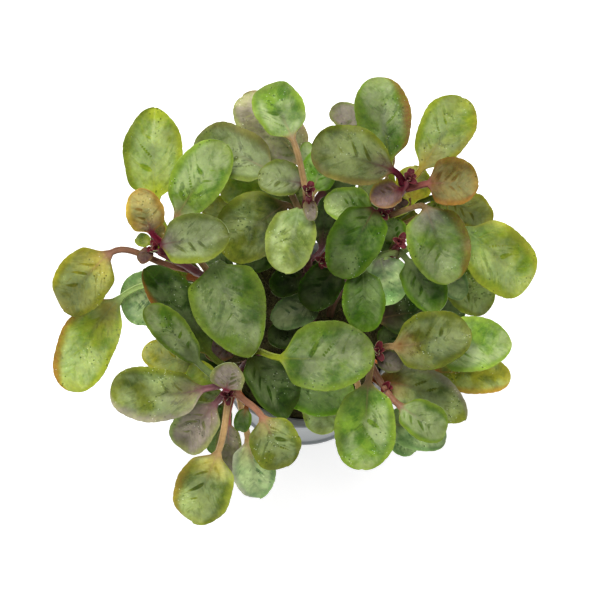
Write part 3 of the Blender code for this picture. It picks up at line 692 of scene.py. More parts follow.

# %% [markdown]
# ## How each leaf looks
#
# The finishes above are kinds, and each leaf is given one of them, in the same order as its place. Leaves of
# one stem differ most by age: the youngest, near the tip, are red or bronze, the next are a fresh green, and
# the old low ones are dull and dark. Those deep in the middle are darker still, by low tones that are
# painted shade.

# %% The leaves' looks
LOOKS = {
    "left": [
        Look("spring", 1.08, "lime", "lime", "moss", -0.6),
        Look("bronze", 1.6, "plum", "wine", "straw", -0.4),
        Look("sage", 0.8, "lilac", "wine", "lime", 0.6),
        Look("apple", 1.2, "moss", "tan"),
        Look("olive", 1.0, "straw", "salmon", "moss", -0.6),
        Look("spring", 1.25, "straw", "mint", "rust", 0.8),
        Look("apple", 0.5, "grass", "mint"),
    ],
    "front_left": [
        Look("forest", 1.1, "moss", "moss", "rust", -0.8),
        Look("apple", 0.5, "mint", "mint"),
        Look("olive", 1.8, "moss", "moss"),
        Look("moss", 1.25, "plum", "plum", "lilac", -0.6),
        Look("dusk", 1.0, "plum", "wine"),
        Look("dusk", 1.25, "plum", "plum", "mint", 0.4),
        Look("moss", 1.5, "straw", "tan", "rust", 0.4),
        Look("moss", 1.2, "tan", "salmon"),
        Look("teal", 1.8, "tan", "tan", "lilac", 0.5),
    ],
    "front": [
        Look("forest", 0.9, "moss", "moss"),
        Look("apple", 0.6, "grass", "lime"),
        Look("fern", 1.7, "grass", "grass"),
        Look("sage", 1.7, "moss", "moss"),
    ],
    "front_right": [
        Look("apple", 1.05, "grass", "tan", "moss", 0.3, 1.15),
        Look("apple", 0.9, "mint", "salmon"),
        Look("teal", 1.8, "moss", "tan"),
        Look("moss", 1.2, "rust", "rust", "lilac", -0.5),
        Look("moss", 0.72, "rust", "tan"),
        Look("apple", 1.35, "lime", "tan"),
        Look("olive", 1.8, "moss", "rust", "rust", 0.6),
    ],
    "right": [
        Look("fern", 0.7, "grass", "mint"),
        Look("teal", 2.7, "lilac", "mint"),
        Look("fern", 0.78, "mint", "mint"),
        Look("spring", 0.95, "grass", "mint", "straw", -0.25),
        Look("moss", 1.3, "moss", "tan"),
        Look("forest", 1.4, "plum", "tan"),
    ],
    "back_right": [
        Look("apple", 0.68, "grass", "lime", "rust", 0.8),
        Look("spring", 0.74, "straw", "straw", "rust", 0.3),
        Look("bronze", 0.82, "rust", "rose", "rust", 0.4),
        Look("moss", 0.74, "plum", "wine", "tan", -0.5),
        Look("plum", 1.0, "wine", "wine", "straw", 0.6),
        Look("olive", 1.3, "straw", "lime"),
        Look("apple", 0.72, "lilac", "tan", "rust", -0.6),
        Look("olive", 0.95, "moss", "moss"),
    ],
    "middle": [
        Look("fern", 0.55, "moss", "wine"),
        Look("apple", 1.8, "grass", "moss"),
    ],
    "back": [
        Look("apple", 1.1, "mint", "tan", None, 0, 0.85),
        Look("dusk", 1.9, "moss", "tan", "plum", 0.6),
        Look("sage", 0.9, "moss", "tan", "tan", 0.4),
        Look("sage", 0.6, "lilac", "wine"),
        Look("sage", 1.15, "grass", "mint"),
        Look("moss", 0.92, "moss", "tan"),
    ],
}

# The small leaves' looks, and after them the low ones'
SMALL_LOOKS = {
    "left": [
        Look("plum", 1.0, "wine", "wine"),
        Look("spring", 1.0, "lime", "lime"),
        Look("spring", 1.0, "grass", "rust"),
        Look("forest", 0.9, "moss", "moss"),
        Look("teal", 1.2, "mint", "mint"),
        Look("forest", 1.3, "moss", "moss"),
        Look("bronze", 1.2, "rose", "wine"),
    ],
    "front_left": [
        Look("fern", 1.0, "tan", "rust"),
        Look("spring", 1.0, "grass", "moss"),
        Look("dusk", 1.2, "lilac", "rose"),
        Look("moss", 1.2, "moss", "rose"),
        Look("fern", 1.2, "grass", "rose"),
        Look("forest", 1.2, "moss", "moss"),
    ],
    "front": [Look("fern", 1.0, "moss", "moss"), Look("plum", 0.9, "wine", "wine")],
    "front_right": [
        Look("dusk", 0.5, "plum", "wine"),
        Look("teal", 1.6, "moss", "tan"),
        Look("forest", 1.2, "moss", "moss"),
    ],
    "right": [
        Look("fern", 1.0, "moss", "moss"),
        Look("teal", 1.2, "mint", "mint"),
        Look("fern", 0.8, "moss", "moss"),
    ],
    "back_right": [
        Look("dusk", 1.1, "lilac", "tan"),
        Look("olive", 1.0, "moss", "moss"),
        Look("olive", 1.0, "rust", "tan"),
        Look("plum", 0.8, "wine", "wine"),
    ],
    "middle": [Look("moss", 1.1, "moss", "moss")],
    "back": [
        Look("dusk", 1.0, "moss", "wine"),
        Look("fern", 1.6, "grass", "tan"),
        Look("spring", 1.0, "grass", "moss"),
        Look("forest", 1.2, "moss", "plum"),
        Look("forest", 0.9, "plum", "plum"),
        Look("olive", 1.2, "grass", "moss"),
        Look("apple", 1.2, "grass", "moss"),
        Look("moss", 1.1, "rust", "rust"),
        Look("forest", 1.3, "moss", "moss"),
    ],
    # The centre's leaves have low tones as painted shade, deep in the plant where little light comes
    "centre": [
        Look("forest", 0.6, "moss", "plum"),
        Look("teal", 0.5, "moss", "plum"),
        Look("forest", 0.6, "moss", "plum"),
        Look("forest", 0.6, "moss", "plum"),
    ],
}

# Leaves that narrow to a point, where the others are blunt
POINTED = ("left_leaf_1", "left_leaf_7", "front_left_leaf_9", "front_right_leaf_4", "front_right_leaf_6")
print("looks:", len({look for looks in LOOKS.values() for look in looks}))

# %% [markdown]
# ## The shape of a leaf
#
# A leaf could be a flat plane cut to an outline, but it would have no stalk, no thickness and no furrows.
# Here it is a grid of two parameters. One runs up the stalk and over the blade, the other from the left edge
# to the right one. The formulas below give, for the whole grid at once, how wide the leaf is, how it folds
# and waves, and how deep its veins lie. The underside is the same grid moved inward along its normals: deep
# under the stalk and the midrib, and thin at the edge.

# %% Measures of a leaf
# The exponent of the outline's end
BLUNT = 0.48
SHARP = 0.66

# Stalk, blade and midrib
STALK_HALF_WIDTH = 0.56 * MM
STALK_DEPTH = 1.1 * MM
STALK_CHANNEL = 0.22 * MM
BLADE_DEPTH = 0.3 * MM
RIM_DEPTH = 0.1 * MM
RIDGE_DEPTH = 0.7 * MM
RIDGE_WIDTH = 0.5 * MM
CREASE_ROUNDING = 0.006

# The stalk's foot, which flares where it leaves its stem
FLARE = 0.7
FLARE_LENGTH = 1.2 * MM
HEEL_LENGTH = 1.6 * MM
HEEL_WAYS = (0.75, 0.66)
SEAT_OUT = 0.3 * MM

# Side veins: how many pairs, how they slant and curve, and how far they stray
VEIN_PAIRS = 5.2
VEIN_SLOPE = 0.75
VEIN_CURVE = 25
VEIN_OFFSET = 0.45
VEIN_WAVER = 0.14
FURROW_WIDTH = 0.5 * MM
FURROW_DEPTH = 0.2 * MM

# Lumps and pillows, with the lumps' lengths in mm
PILLOW = 0.05 * MM
LUMPS = 0.5 * MM
LUMP_WAVES = 6
LUMP_LENGTHS = (6, 12)

# The edge: how uneven it is, its scallops and its waves
UNEVEN_WIDTH = 0.05
UNEVEN_EDGE = 0.018
SCALLOP = 2.1 * MM
SCALLOP_DEPTH = 0.13 * MM
WAVE = 0.03

# How far rows crowd towards the tip, and the width in mm below which a leaf counts as small
ROW_CROWDING = 1.5
SMALL_BLADE = 9


# %% The outline and the line of the leaf
def outline(along, taper, apex):
    """Half the width as a share of its largest, at a = w: (a / w)^taper * ((1 - a) / (1 - w))^apex."""
    widest = taper / (taper + apex)
    return (np.clip(along, 0, 1) / widest) ** taper * ((1 - along) / (1 - widest)) ** apex


def blade_axes(neck, tip, roll):
    """The blade's own directions: forward, to its right, and up."""
    forward = unit(tip - neck)
    level = unit(np.cross(forward, [0, 0, 1]))
    above = np.cross(level, forward)
    turn = math.radians(roll)
    right = level * math.cos(turn) - above * math.sin(turn)
    return forward, right, np.cross(right, forward)


def spine_of(leaf, seat, seat_way, neck, tip, axes, rows):
    """The line up the stalk and along the midrib, how far each row is from the stem, and the same from the
    neck, as a share of the blade's length."""
    forward, right, up = axes
    length = np.linalg.norm(tip - neck)
    bend = 4 * (up * leaf.arch + right * leaf.bow)
    stalk = np.linspace(0, 1, rows[0], endpoint=False)
    stalk_line = curve_between(seat, seat_way, neck, forward + bend, stalk)
    blade = 1 - (1 - np.linspace(0, 1, rows[1], endpoint=False)) ** ROW_CROWDING
    hump = (blade * (1 - blade))[:, None]
    line = np.concatenate([stalk_line, neck + length * (forward * blade[:, None] + bend * hump)])
    travelled = np.append(0, np.cumsum(np.linalg.norm(np.diff(line, axis=0), axis=1)))
    return line, travelled, np.append((travelled[: rows[0]] - travelled[rows[0]]) / length, blade)


# %% Veins, furrows and lumps
def veins_of(distance, aside, along, across, length, chance):
    """The number of each point's side vein, and how deep it lies in a furrow. Veins leave the midrib at
    even steps, on its two sides in turn, and slant forward, so the number is (distance - slope * |aside| -
    curve * aside^2) / spacing. A furrow is e^(-(distance to the vein / width)^2), of uneven strength."""
    start, turn, wander = chance.uniform(0, 1, 3)
    spacing = length / VEIN_PAIRS
    slant = VEIN_SLOPE * np.abs(aside) + VEIN_CURVE * aside**2
    number = (distance - slant) / spacing + start + VEIN_OFFSET * smooth_step(aside, -0.4 * MM, 0.4 * MM)
    number = number + VEIN_WAVER * np.sin(2.7 * number + 4 * across + 6 * turn)
    nearest = np.round(number)
    strength = 0.55 + 0.45 * np.sin(12.99 * nearest + 5 * np.sign(aside) + 6 * wander)
    shown = smooth_step(along, 0.03, 0.15) * smooth_step(1 - along, 0.15, 0.5)
    shown = shown * smooth_step(np.abs(aside), 0.2 * MM, 0.7 * MM)
    shown = shown * (1 - smooth_step(np.abs(across), 0.15, 0.75))
    return number, np.exp(-(((number - nearest) * spacing / FURROW_WIDTH) ** 2)) * strength * shown


def relief_of(distance, aside, along, across, number, furrow, chance):
    """The upper side's height: soft lumps, the mean of six sine waves 6 to 12 mm long, with pillows between
    the furrows."""
    lumps = 0
    least, most = [0, 0, LUMP_LENGTHS[0]], [2 * np.pi, 2 * np.pi, LUMP_LENGTHS[1]]
    for angle, phase, size in chance.uniform(least, most, (LUMP_WAVES, 3)):
        ripple = 2 * np.pi * (aside * math.cos(angle) + distance * math.sin(angle)) / (size * MM)
        lumps = lumps + np.sin(ripple + phase) / LUMP_WAVES
    body = smooth_step(along, 0.05, 0.3) * smooth_step(1 - along, 0, 0.15)
    pillow = (0.5 - 0.5 * np.cos(2 * np.pi * number)) * smooth_step(1 - along, 0.1, 0.4)
    return body * (1 - across**4) * (LUMPS * lumps + PILLOW * pillow) - FURROW_DEPTH * furrow


# %% The upper side and the underside
def smallness(leaf):
    """1 for a full leaf. A narrower one has finer details, in the share of its width to a small blade's."""
    return min(1, leaf.width / SMALL_BLADE)


def margin_of(leaf, along, across, travelled, apex, stout, chance):
    """Half the width at each row, on each side: the root of stalk^2 + blade^2, so that one runs into the
    other. The outline is slightly uneven, and scallops of depth * (1 - |sin|)^2 are cut into its edge."""
    small = smallness(leaf)
    right_side = (across > 0).astype(int)
    turns, starts, share = chance.uniform([[1.3], [0], [-1]], [[2.6], [1], [1]], (3, 2))
    uneven = 1 + UNEVEN_WIDTH * share[0] * np.sign(across)
    uneven = uneven + UNEVEN_EDGE * np.sin(2 * np.pi * (turns[right_side] * along + starts[right_side]))
    body = leaf.width * MM / 2 * outline((along + 0.06) / 1.06, leaf.taper, apex)
    body = body * smooth_step(along, -0.12, 0.14)
    flare = 1 + FLARE * np.exp(-travelled / FLARE_LENGTH)
    stalk = STALK_HALF_WIDTH * stout * (0.4 + 0.6 * small) * flare * np.sqrt(np.clip(1 - along, 0, 1))
    notch = (1 - np.abs(np.sin(np.pi * travelled / SCALLOP + starts[right_side]))) ** 2
    notch = notch * SCALLOP_DEPTH * small * smooth_step(along, 0.1, 0.3) * smooth_step(1 - along, 0.0, 0.1)
    return np.sqrt(stalk**2 + (body * uneven) ** 2) - notch * np.abs(across) ** 8


def depth_of(leaf, along, across, aside, travelled, on_stalk):
    """How thick the leaf is: round under the stalk, with a ridge under the midrib, and thin at the edge."""
    small = smallness(leaf)
    stalk_depth = STALK_DEPTH * (1 + FLARE * np.exp(-travelled / FLARE_LENGTH)) * (0.35 + 0.65 * small)
    round_depth = RIM_DEPTH + (stalk_depth - RIM_DEPTH) * np.sqrt(1 - across**2)
    ridge = RIDGE_DEPTH * small * (1 - along.clip(0, 1)) ** 1.5 * np.exp(-((aside / RIDGE_WIDTH) ** 2))
    flat_depth = RIM_DEPTH + (BLADE_DEPTH - RIM_DEPTH) * (1 - across**6) + ridge
    return round_depth * on_stalk + flat_depth * (1 - on_stalk)


def leaf_skin(leaf, seat, seat_way, neck, tip, grid, seed, slots, apex=BLUNT, stout=1):
    """The closed skin of stalk and blade. grid is the number of stalk rows, blade rows and columns. A point
    of the upper side is spine + side * aside + top * lift, and lift adds up fold, cup * across^2, wave and
    relief."""
    chance = np.random.default_rng(seed)
    axes = blade_axes(neck, tip, leaf.roll)
    spine, travelled, along = spine_of(leaf, seat, seat_way, neck, tip, axes, grid[:2])
    travelled, along = travelled[:, None], along[:, None]
    even = np.linspace(-1, 1, grid[2])
    across = (0.45 * even + 0.55 * np.sin(even * np.pi / 2))[None, :]
    ways = unit(np.gradient(spine, axis=0))
    sides = unit(axes[1] - ways * (ways @ axes[1])[:, None])
    tops = np.cross(sides, ways)

    half = margin_of(leaf, along, across, travelled, apex, stout, chance)
    fold = math.radians(leaf.fold) * smooth_step(along, -0.05, 0.33)
    aside = half * across * np.cos(fold)
    number, furrow = veins_of(travelled, aside, along, across, np.linalg.norm(tip - neck), chance)
    small = smallness(leaf)
    on_stalk = 1 - smooth_step(along, -0.02, 0.14)
    crease = np.sqrt(across**2 + CREASE_ROUNDING) - math.sqrt(CREASE_ROUNDING)
    lift = half * (crease * np.sin(fold) + leaf.cup * across**2 * smooth_step(along, 0, 0.2))
    turns, starts = chance.uniform([[1.4], [0]], [[2.4], [1]], (2, 2))[:, (across > 0).astype(int)]
    wave = WAVE * leaf.width * MM * np.sin(2 * np.pi * (turns * along + starts)) * np.abs(across) ** 3
    lift = lift + wave * smooth_step(along, 0.05, 0.3) - STALK_CHANNEL * small * (1 - across**2) * on_stalk
    lift = lift + small * relief_of(travelled, aside, along, across, number, furrow, chance)

    upper = spine[:, None] + sides[:, None] * aside[..., None] + tops[:, None] * lift[..., None]
    normal = unit(np.cross(np.gradient(upper, axis=1), np.gradient(upper, axis=0)))
    under = upper - normal * depth_of(leaf, along, across, aside, travelled, on_stalk)[..., None]
    marks = {"along": along + 0 * across, "across": across + 0 * along, "aside": aside, "number": number}
    marks |= {"furrow": furrow, "heel": np.exp(-travelled / HEEL_LENGTH) + 0 * across}
    marks = {key: np.concatenate([value, value[:, ::-1]], axis=1) for key, value in marks.items()}
    beneath = np.arange(2 * grid[2]) >= grid[2]
    face_slots = np.where(beneath[None, :] & (along[:-1] > 0.02), slots[1], slots[0])
    return skin_of(np.concatenate([upper, under[:, ::-1]], axis=1), marks, face_slots)


def placed_leaf(leaf, shoot, grid, seed, slots=(0, 1), apex=BLUNT, stout=1):
    """A leaf at its place: its stalk starts a little inside its stem, and sets out outward and upward."""
    neck = seen_at(leaf.neck, leaf.heights[0] * MM)
    tip = seen_at(leaf.tip, leaf.heights[1] * MM)
    joint, ahead = stem_line(shoot, [leaf.joint, leaf.joint + 0.01])
    growing = unit(ahead - joint)
    outward = unit((neck - joint) - growing * np.dot(neck - joint, growing))
    seat = joint + outward * SEAT_OUT
    seat_way = outward * HEEL_WAYS[0] + growing * HEEL_WAYS[1]
    return leaf_skin(leaf, seat, seat_way, neck, tip, grid, seed, slots, apex, stout)


# %% Grow the full leaves
FULL_GRID = (14, 58, 37)
places = [(name, number) for name, leaves in LEAVES.items() for number in range(len(leaves))]
for seed, (shoot_name, number) in enumerate(places):
    leaf, look = LEAVES[shoot_name][number], LOOKS[shoot_name][number]
    node = f"{shoot_name}_leaf_{number + 1}"
    apex = SHARP if node in POINTED else BLUNT
    skin = placed_leaf(leaf, SHOOTS[shoot_name], FULL_GRID, seed, (0, 1), apex, look.stout)
    name = f"leaf_{shoot_name}_{number + 1}"
    make_piece(name, [skin], [leaf_finish(name, look), UNDERSIDES[look.finish]], node)
    if volume_of(skin) <= 0:
        print("inside out:", name)
print("full leaves:", len(places))

# %% [markdown]
# ## The stems, their small leaves and their buds
#
# A stem is a round tube with five low ribs that wind round it, thicker where a leaf joins. At its growing tip
# sit the youngest leaves, red, folded and up to three millimetres long, each turned by the golden angle from
# the last, as the plant makes them. Stem, small leaves and buds grow as one, so they are one mesh. A coarser
# grid does for the small leaves, because little of them shows. The stem at the front right has a second,
# shorter tip.

# %% The stem's skin and finish
STEM_BASE_RADIUS = 1.15 * MM
STEM_TIP_RADIUS = 0.75 * MM
STEM_ROWS = 90
STEM_SIDES = 20
RIBS = 5
RIB_HEIGHT = 0.05 * MM
NODE_SWELL = 0.2 * MM
NODE_LENGTH = 0.02
TIP_ROUNDING = 0.02
STEM_PATCHES = 260
STEM_FIBRES = 1500
STEM_BUMP = 0.1 * MM
STEM_FOOT_INK = ink(64, 54, 32)
STEM_TOP_INK = ink(94, 20, 42)
STEM_DARK_INK = ink(48, 12, 28)

# The stem that branches, how far up it does, and the pixel and height of the branch's tip
SIDE_TIP = ("front_right", 0.72, (385, 388), 78.5)


def stem_skin(line, joints, slot=0, thick=STEM_BASE_RADIUS):
    """A tube along a line. Radius = taper + swelling at joints + height * cos(ribs * (angle + twist))."""
    share = np.linspace(0, 1, len(line))[:, None]
    angle = turn_steps(STEM_SIDES)
    swell = sum(np.exp(-(((share - joint) / NODE_LENGTH) ** 2)) for joint in joints)
    rib = np.cos(RIBS * (angle + 2 * share))
    radius = thick + (STEM_TIP_RADIUS - thick) * share
    radius = radius + NODE_SWELL * np.clip(swell, 0, 1) + RIB_HEIGHT * rib
    radius = radius * np.sqrt(np.clip((1 - share) / TIP_ROUNDING, 0.2, 1))
    return tube(line, radius, {"along": share, "rib": 0.5 + 0.5 * rib}, STEM_SIDES, slot)


def stem_finish(name):
    """Dark red at the top, browner and greener at the foot, with paler ribs and a satin skin."""
    material, tree, shader = start_material(name)
    patch = noise(tree, STEM_PATCHES, 3, (1, 1, 0.35))
    up = calc(tree, "ADD", mark(tree, "along"), patch)
    colour = mix(tree, rise(tree, up, 0.55, 1.35), STEM_FOOT_INK, STEM_TOP_INK)
    colour = mix(tree, rise(tree, patch, 0.5, 0.7), colour, STEM_DARK_INK)
    colour = layer(tree, colour, INKS["rose"], mark(tree, "rib"), 0.3)
    tree.links.new(colour, shader.inputs["Base Color"])
    tree.links.new(calc(tree, "MULTIPLY_ADD", patch, 0.3, 0.28), shader.inputs["Roughness"])
    set_bump(tree, shader, noise(tree, STEM_FIBRES, 3, (1, 1, 0.2)), STEM_BUMP, 0.6)
    return material


# %% The buds
BUDS = 6
BUD_LEANS = 0.35 + 0.16 * np.arange(BUDS)
BUD_LENGTHS = 1.2 + 0.28 * np.arange(BUDS)
BUD_WIDTHS = 0.9 + 0.2 * np.arange(BUDS)
BUD_SHAPE = Leaf(1, None, None, None, 1, 0.5, 26, 0.3, 0.12)
BUD_LOOK = Look("bud", 1, "wine", "wine")
BUD_GRID = (3, 14, 9)
GOLDEN_ANGLE = math.radians(137.5)


def bud_skins(crown, growing, seed, slots):
    """Young leaves round a growing tip, each longer and more open than the last. Each points along growing *
    cos(lean) + outward * sin(lean)."""
    chance = np.random.default_rng(seed)
    side = unit(np.cross(growing, [1.0, 0, 0]))
    other = np.cross(growing, side)
    skins = []
    for number, (lean, length, width) in enumerate(zip(BUD_LEANS, BUD_LENGTHS, BUD_WIDTHS)):
        turn = GOLDEN_ANGLE * number + chance.uniform(0, 0.5)
        outward = side * math.cos(turn) + other * math.sin(turn)
        way = growing * math.cos(lean) + outward * math.sin(lean)
        neck = crown + outward * 0.35 * MM + growing * 0.2 * MM
        tip = neck + way * length * MM
        bud = BUD_SHAPE._replace(width=width)
        seat = crown - growing * 0.8 * MM
        skins.append(leaf_skin(bud, seat, growing, neck, tip, BUD_GRID, seed + number, slots))
    return skins


# %% Grow the stems
SMALL_GRID = (8, 32, 21)
SMALL_LEAF_SEED = 300
BUD_SEED = 500
SIDE_BUD_SEED = 590
SIDE_TIP_ROWS = 30
SIDE_TIP_RISE = np.array([0, 0, 0.5 * MM])
STEM_FOOT = np.array([0, 0, 4 * MM])

for order, (shoot_name, shoot) in enumerate(SHOOTS.items()):
    small = SMALL_LEAVES.get(shoot_name, []) + LOW_LEAVES.get(shoot_name, [])
    joints = [leaf.joint for leaf in LEAVES.get(shoot_name, []) + small]
    line = stem_line(shoot, np.linspace(0, 1, STEM_ROWS))
    skins = [stem_skin(np.concatenate([[line[0] - STEM_FOOT], line]), joints)]
    skins += bud_skins(line[-1], unit(line[-1] - line[-3]), BUD_SEED + 10 * order, (1, 2))
    materials = [stem_finish(f"stem_{shoot_name}")]
    materials += [leaf_finish(f"bud_{shoot_name}", BUD_LOOK), UNDERSIDES["bud"]]
    if shoot_name == SIDE_TIP[0]:
        start, ahead = stem_line(shoot, [SIDE_TIP[1], SIDE_TIP[1] + 0.01])
        end = seen_at(SIDE_TIP[2], SIDE_TIP[3] * MM)
        branch = curve_between(start, ahead - start, end, end - start, np.linspace(0, 1, SIDE_TIP_ROWS))
        skins.append(stem_skin(branch, [], 0, STEM_TIP_RADIUS))
        upward = unit(branch[-1] - branch[-3] + SIDE_TIP_RISE)
        skins += bud_skins(branch[-1], upward, SIDE_BUD_SEED, (1, 2))
    for number, (leaf, look) in enumerate(zip(small, SMALL_LOOKS[shoot_name]), 1):
        first = len(materials)
        materials += [leaf_finish(f"small_leaf_{shoot_name}_{number}", look), UNDERSIDES[look.finish]]
        seed = SMALL_LEAF_SEED + 10 * order + number
        skins.append(placed_leaf(leaf, shoot, SMALL_GRID, seed, (first, first + 1)))
    make_piece(f"stem_{shoot_name}", skins, materials, f"{shoot_name}_stem")
print("stems:", len(SHOOTS))

# %% [markdown]
# ## The mineral wool
#
# The plug is spun stone fibre, pressed into the pot and brown from the nursery's water. A hair system could
# make it all of strands, but only patches of it show between the leaves. So a turned shape gives its sides, a
# lumpy grid its top, and some hundreds of loose strands lie on it. Each strand is a thin bent tube of three
# sides, so that together they stay light.

# %% The plug's skin
PLUG_RADIUS = 21.6 * MM
PLUG_BASE_RADIUS = 19.3 * MM
PLUG_BOTTOM = 2.3 * MM
PLUG_EDGE = PLUG_TOP - 1.2 * MM
PLUG_SIDES = 96
PLUG_SIDE_ROWS = 10
PLUG_TOP_ROWS = 34
LUMP_HEIGHT, LUMP_SIZE, LUMP_SEED = 0.7 * MM, 7 * MM, 7
TUFT_HEIGHT, TUFT_SIZE, TUFT_SEED = 0.25 * MM, 2 * MM, 8
STRANDS = 620
STRAND_SEED = 21
STRAND_RADIUS = 0.09 * MM
STRAND_POINTS = 6
STRAND_SIDES = 3
STRAND_CURL = 0.5
STRAND_LENGTHS = (1.5, 4.5)
STRAND_LIFTS = (0.1, 0.9)


def lumps_at(x, y, seed, size):
    """A smooth random height, mostly from -1 to 1: 2.2 times the mean of ten sine waves in random ways."""
    chance = np.random.default_rng(seed)
    angle, phase, stretch = chance.uniform([0, 0, 0.6], [2 * np.pi, 2 * np.pi, 1.8], (10, 3)).T
    x, y = np.asarray(x)[..., None], np.asarray(y)[..., None]
    wave = 2 * np.pi * stretch * (x * np.cos(angle) + y * np.sin(angle)) / size
    return np.sin(wave + phase).mean(-1) * 2.2


def plug_skin():
    """Rings of radius r and height z: across the bottom, up the side, and in over the lumpy top."""
    angle = turn_steps(PLUG_SIDES)
    side = np.linspace(0, 1, PLUG_SIDE_ROWS)
    top = np.linspace(1, 0, PLUG_TOP_ROWS)[1:-1]
    side_radius = PLUG_BASE_RADIUS + (PLUG_RADIUS - PLUG_BASE_RADIUS) * side
    radius = np.concatenate([[PLUG_BASE_RADIUS * 0.5], side_radius, PLUG_RADIUS * top])
    side_height = PLUG_BOTTOM + (PLUG_EDGE - PLUG_BOTTOM) * side
    top_height = PLUG_TOP - (PLUG_TOP - PLUG_EDGE) * smooth_step(top, 0.6, 1)
    height = np.concatenate([[PLUG_BOTTOM], side_height, top_height])
    is_top = np.concatenate([np.zeros(1 + len(side)), np.ones(len(top))])[:, None]
    x = radius[:, None] * np.cos(angle)
    y = radius[:, None] * np.sin(angle)
    lumps = LUMP_HEIGHT * lumps_at(x, y, LUMP_SEED, LUMP_SIZE)
    lumps = lumps + TUFT_HEIGHT * lumps_at(x, y, TUFT_SEED, TUFT_SIZE)
    return skin_of(np.stack([x, y, height[:, None] + is_top * lumps], -1), {"along": is_top})


def strand_skins(count, seed):
    """Bent strands lying on the wool: short arcs of random length, turn and place, raised off the lumps."""
    chance = np.random.default_rng(seed)
    skins = []
    for _ in range(count):
        reach = PLUG_RADIUS * 0.93 * math.sqrt(chance.uniform())
        where, heading, curl = chance.uniform([0, 0, -STRAND_CURL], [2 * np.pi, 2 * np.pi, STRAND_CURL])
        t = np.linspace(-1, 1, STRAND_POINTS)
        length = chance.uniform(*STRAND_LENGTHS) * MM
        x = reach * math.cos(where) + length * t * np.cos(heading + curl * 2 * t)
        y = reach * math.sin(where) + length * t * np.sin(heading + curl * 2 * t)
        inside = np.minimum(1, PLUG_RADIUS * 0.97 / np.hypot(x, y))
        x, y = x * inside, y * inside
        z = PLUG_TOP + LUMP_HEIGHT * lumps_at(x, y, LUMP_SEED, LUMP_SIZE)
        z = z + chance.uniform(*STRAND_LIFTS) * MM * (1 - t**2)
        line = np.stack([x, y, z], -1)
        skins.append(tube(line, STRAND_RADIUS, {"along": chance.uniform()}, STRAND_SIDES, 1))
    return skins


# %% The wool's finish
FIBRES = 700
ALGAE = 160
WOOL_BUMP = 0.5 * MM


def wool_finish(name, dark, light):
    """Matted fibre: streaky noise for its colour, green where algae grow on it, and a rough, deep bump."""
    material, tree, shader = start_material(name)
    streak = noise(tree, FIBRES, 6, (1, 1, 3))
    tone = calc(tree, "MULTIPLY_ADD", mark(tree, "along"), 0.12, streak)
    colour = mix(tree, rise(tree, tone, 0.4, 0.7), dark, light)
    colour = layer(tree, colour, INKS["moss"], rise(tree, noise(tree, ALGAE, 3), 0.5, 0.7), 0.6)
    tree.links.new(colour, shader.inputs["Base Color"])
    shader.inputs["Roughness"].default_value = 0.9
    set_bump(tree, shader, streak, WOOL_BUMP)
    return material


wool_materials = [
    wool_finish("wool", ink(42, 38, 20), ink(78, 72, 40)),
    wool_finish("wool_strands", ink(68, 62, 36), ink(108, 98, 60)),
]
wool = [plug_skin()] + strand_skins(STRANDS, STRAND_SEED)
make_piece("mineral_wool", wool, wool_materials, "wool_plug")
print("strands:", STRANDS)

# %% [markdown]
# ## The pot
#
# The pot is moulded plastic, a little cloudy, and turned about its axis: a foot ring, a slightly tapered
# wall, two bands that stiffen it, a flange to lift it by, and a smooth inside. Its profile is a list of
# corners, and each corner is rounded by a short curve.

# %% The pot's skin
POT_HEIGHT = 50 * MM

# Radius, height and rounding of each corner in mm, up the outside and down the inside
POT_CORNERS = [
    (21.2, 0, 0.4),
    (22, 0.4, 0.3),
    (22, 2, 0.3),
    (21.3, 2.5, 0.3),
    (22.85, 39.0, 0.4),
    (23.75, 39.6, 0.3),
    (23.8, 40.6, 0.3),
    (22.95, 41.1, 0.4),
    (23.15, 43.8, 0.4),
    (24.0, 44.4, 0.3),
    (24.05, 45.2, 0.3),
    (23.25, 45.7, 0.4),
    (23.4, 47.3, 0.5),
    (24.8, 47.5, 0.3),
    (25, 49.6, 0.5),
    (24.5, 50, 0.4),
    (22.8, 49.9, 0.5),
    (22.3, 48.6, 0.5),
    (19.9, 2.4, 0.8),
    (18.6, 2, 0.8),
]
POT_AROUND = 144
ARC_POINTS = 5


def rounded(corners):
    """Replace each corner p by the curve (1-t)^2 a + 2t(1-t) p + t^2 b, with a and b on its two sides."""
    corner = np.array([row[:2] for row in corners])
    cut = np.array([row[2] for row in corners])[:, None]
    before = np.roll(corner, 1, axis=0) - corner
    after = np.roll(corner, -1, axis=0) - corner
    before[0] = (-1, 0)
    after[-1] = (-1, 0)
    a = corner + before * np.minimum(0.45, cut / np.linalg.norm(before, axis=1, keepdims=True))
    b = corner + after * np.minimum(0.45, cut / np.linalg.norm(after, axis=1, keepdims=True))
    t = np.linspace(0, 1, ARC_POINTS)[None, :, None]
    return ((1 - t) ** 2 * a[:, None] + 2 * t * (1 - t) * corner[:, None] + t**2 * b[:, None]).reshape(-1, 2)


def pot_skin():
    """The profile (r, z) carried round the axis: x = r cos, y = r sin."""
    profile = rounded(POT_CORNERS) * MM
    angle = turn_steps(POT_AROUND)
    radius, height = profile[:, :1], profile[:, 1:]
    rings = np.stack([radius * np.cos(angle), radius * np.sin(angle), height + 0 * angle], -1)
    return skin_of(rings, {"along": height / POT_HEIGHT})


# %% The pot's finish
CLOUDS = 45
SCUFFS = 420
TURNED_LINES = 300
POT_BUMP = 0.06 * MM
POT_GREY, POT_PALE_GREY = ink(134, 137, 144), ink(150, 153, 160)
POT_FOOT_GREY, SCUFF_GREY = ink(126, 132, 134), ink(178, 180, 184)


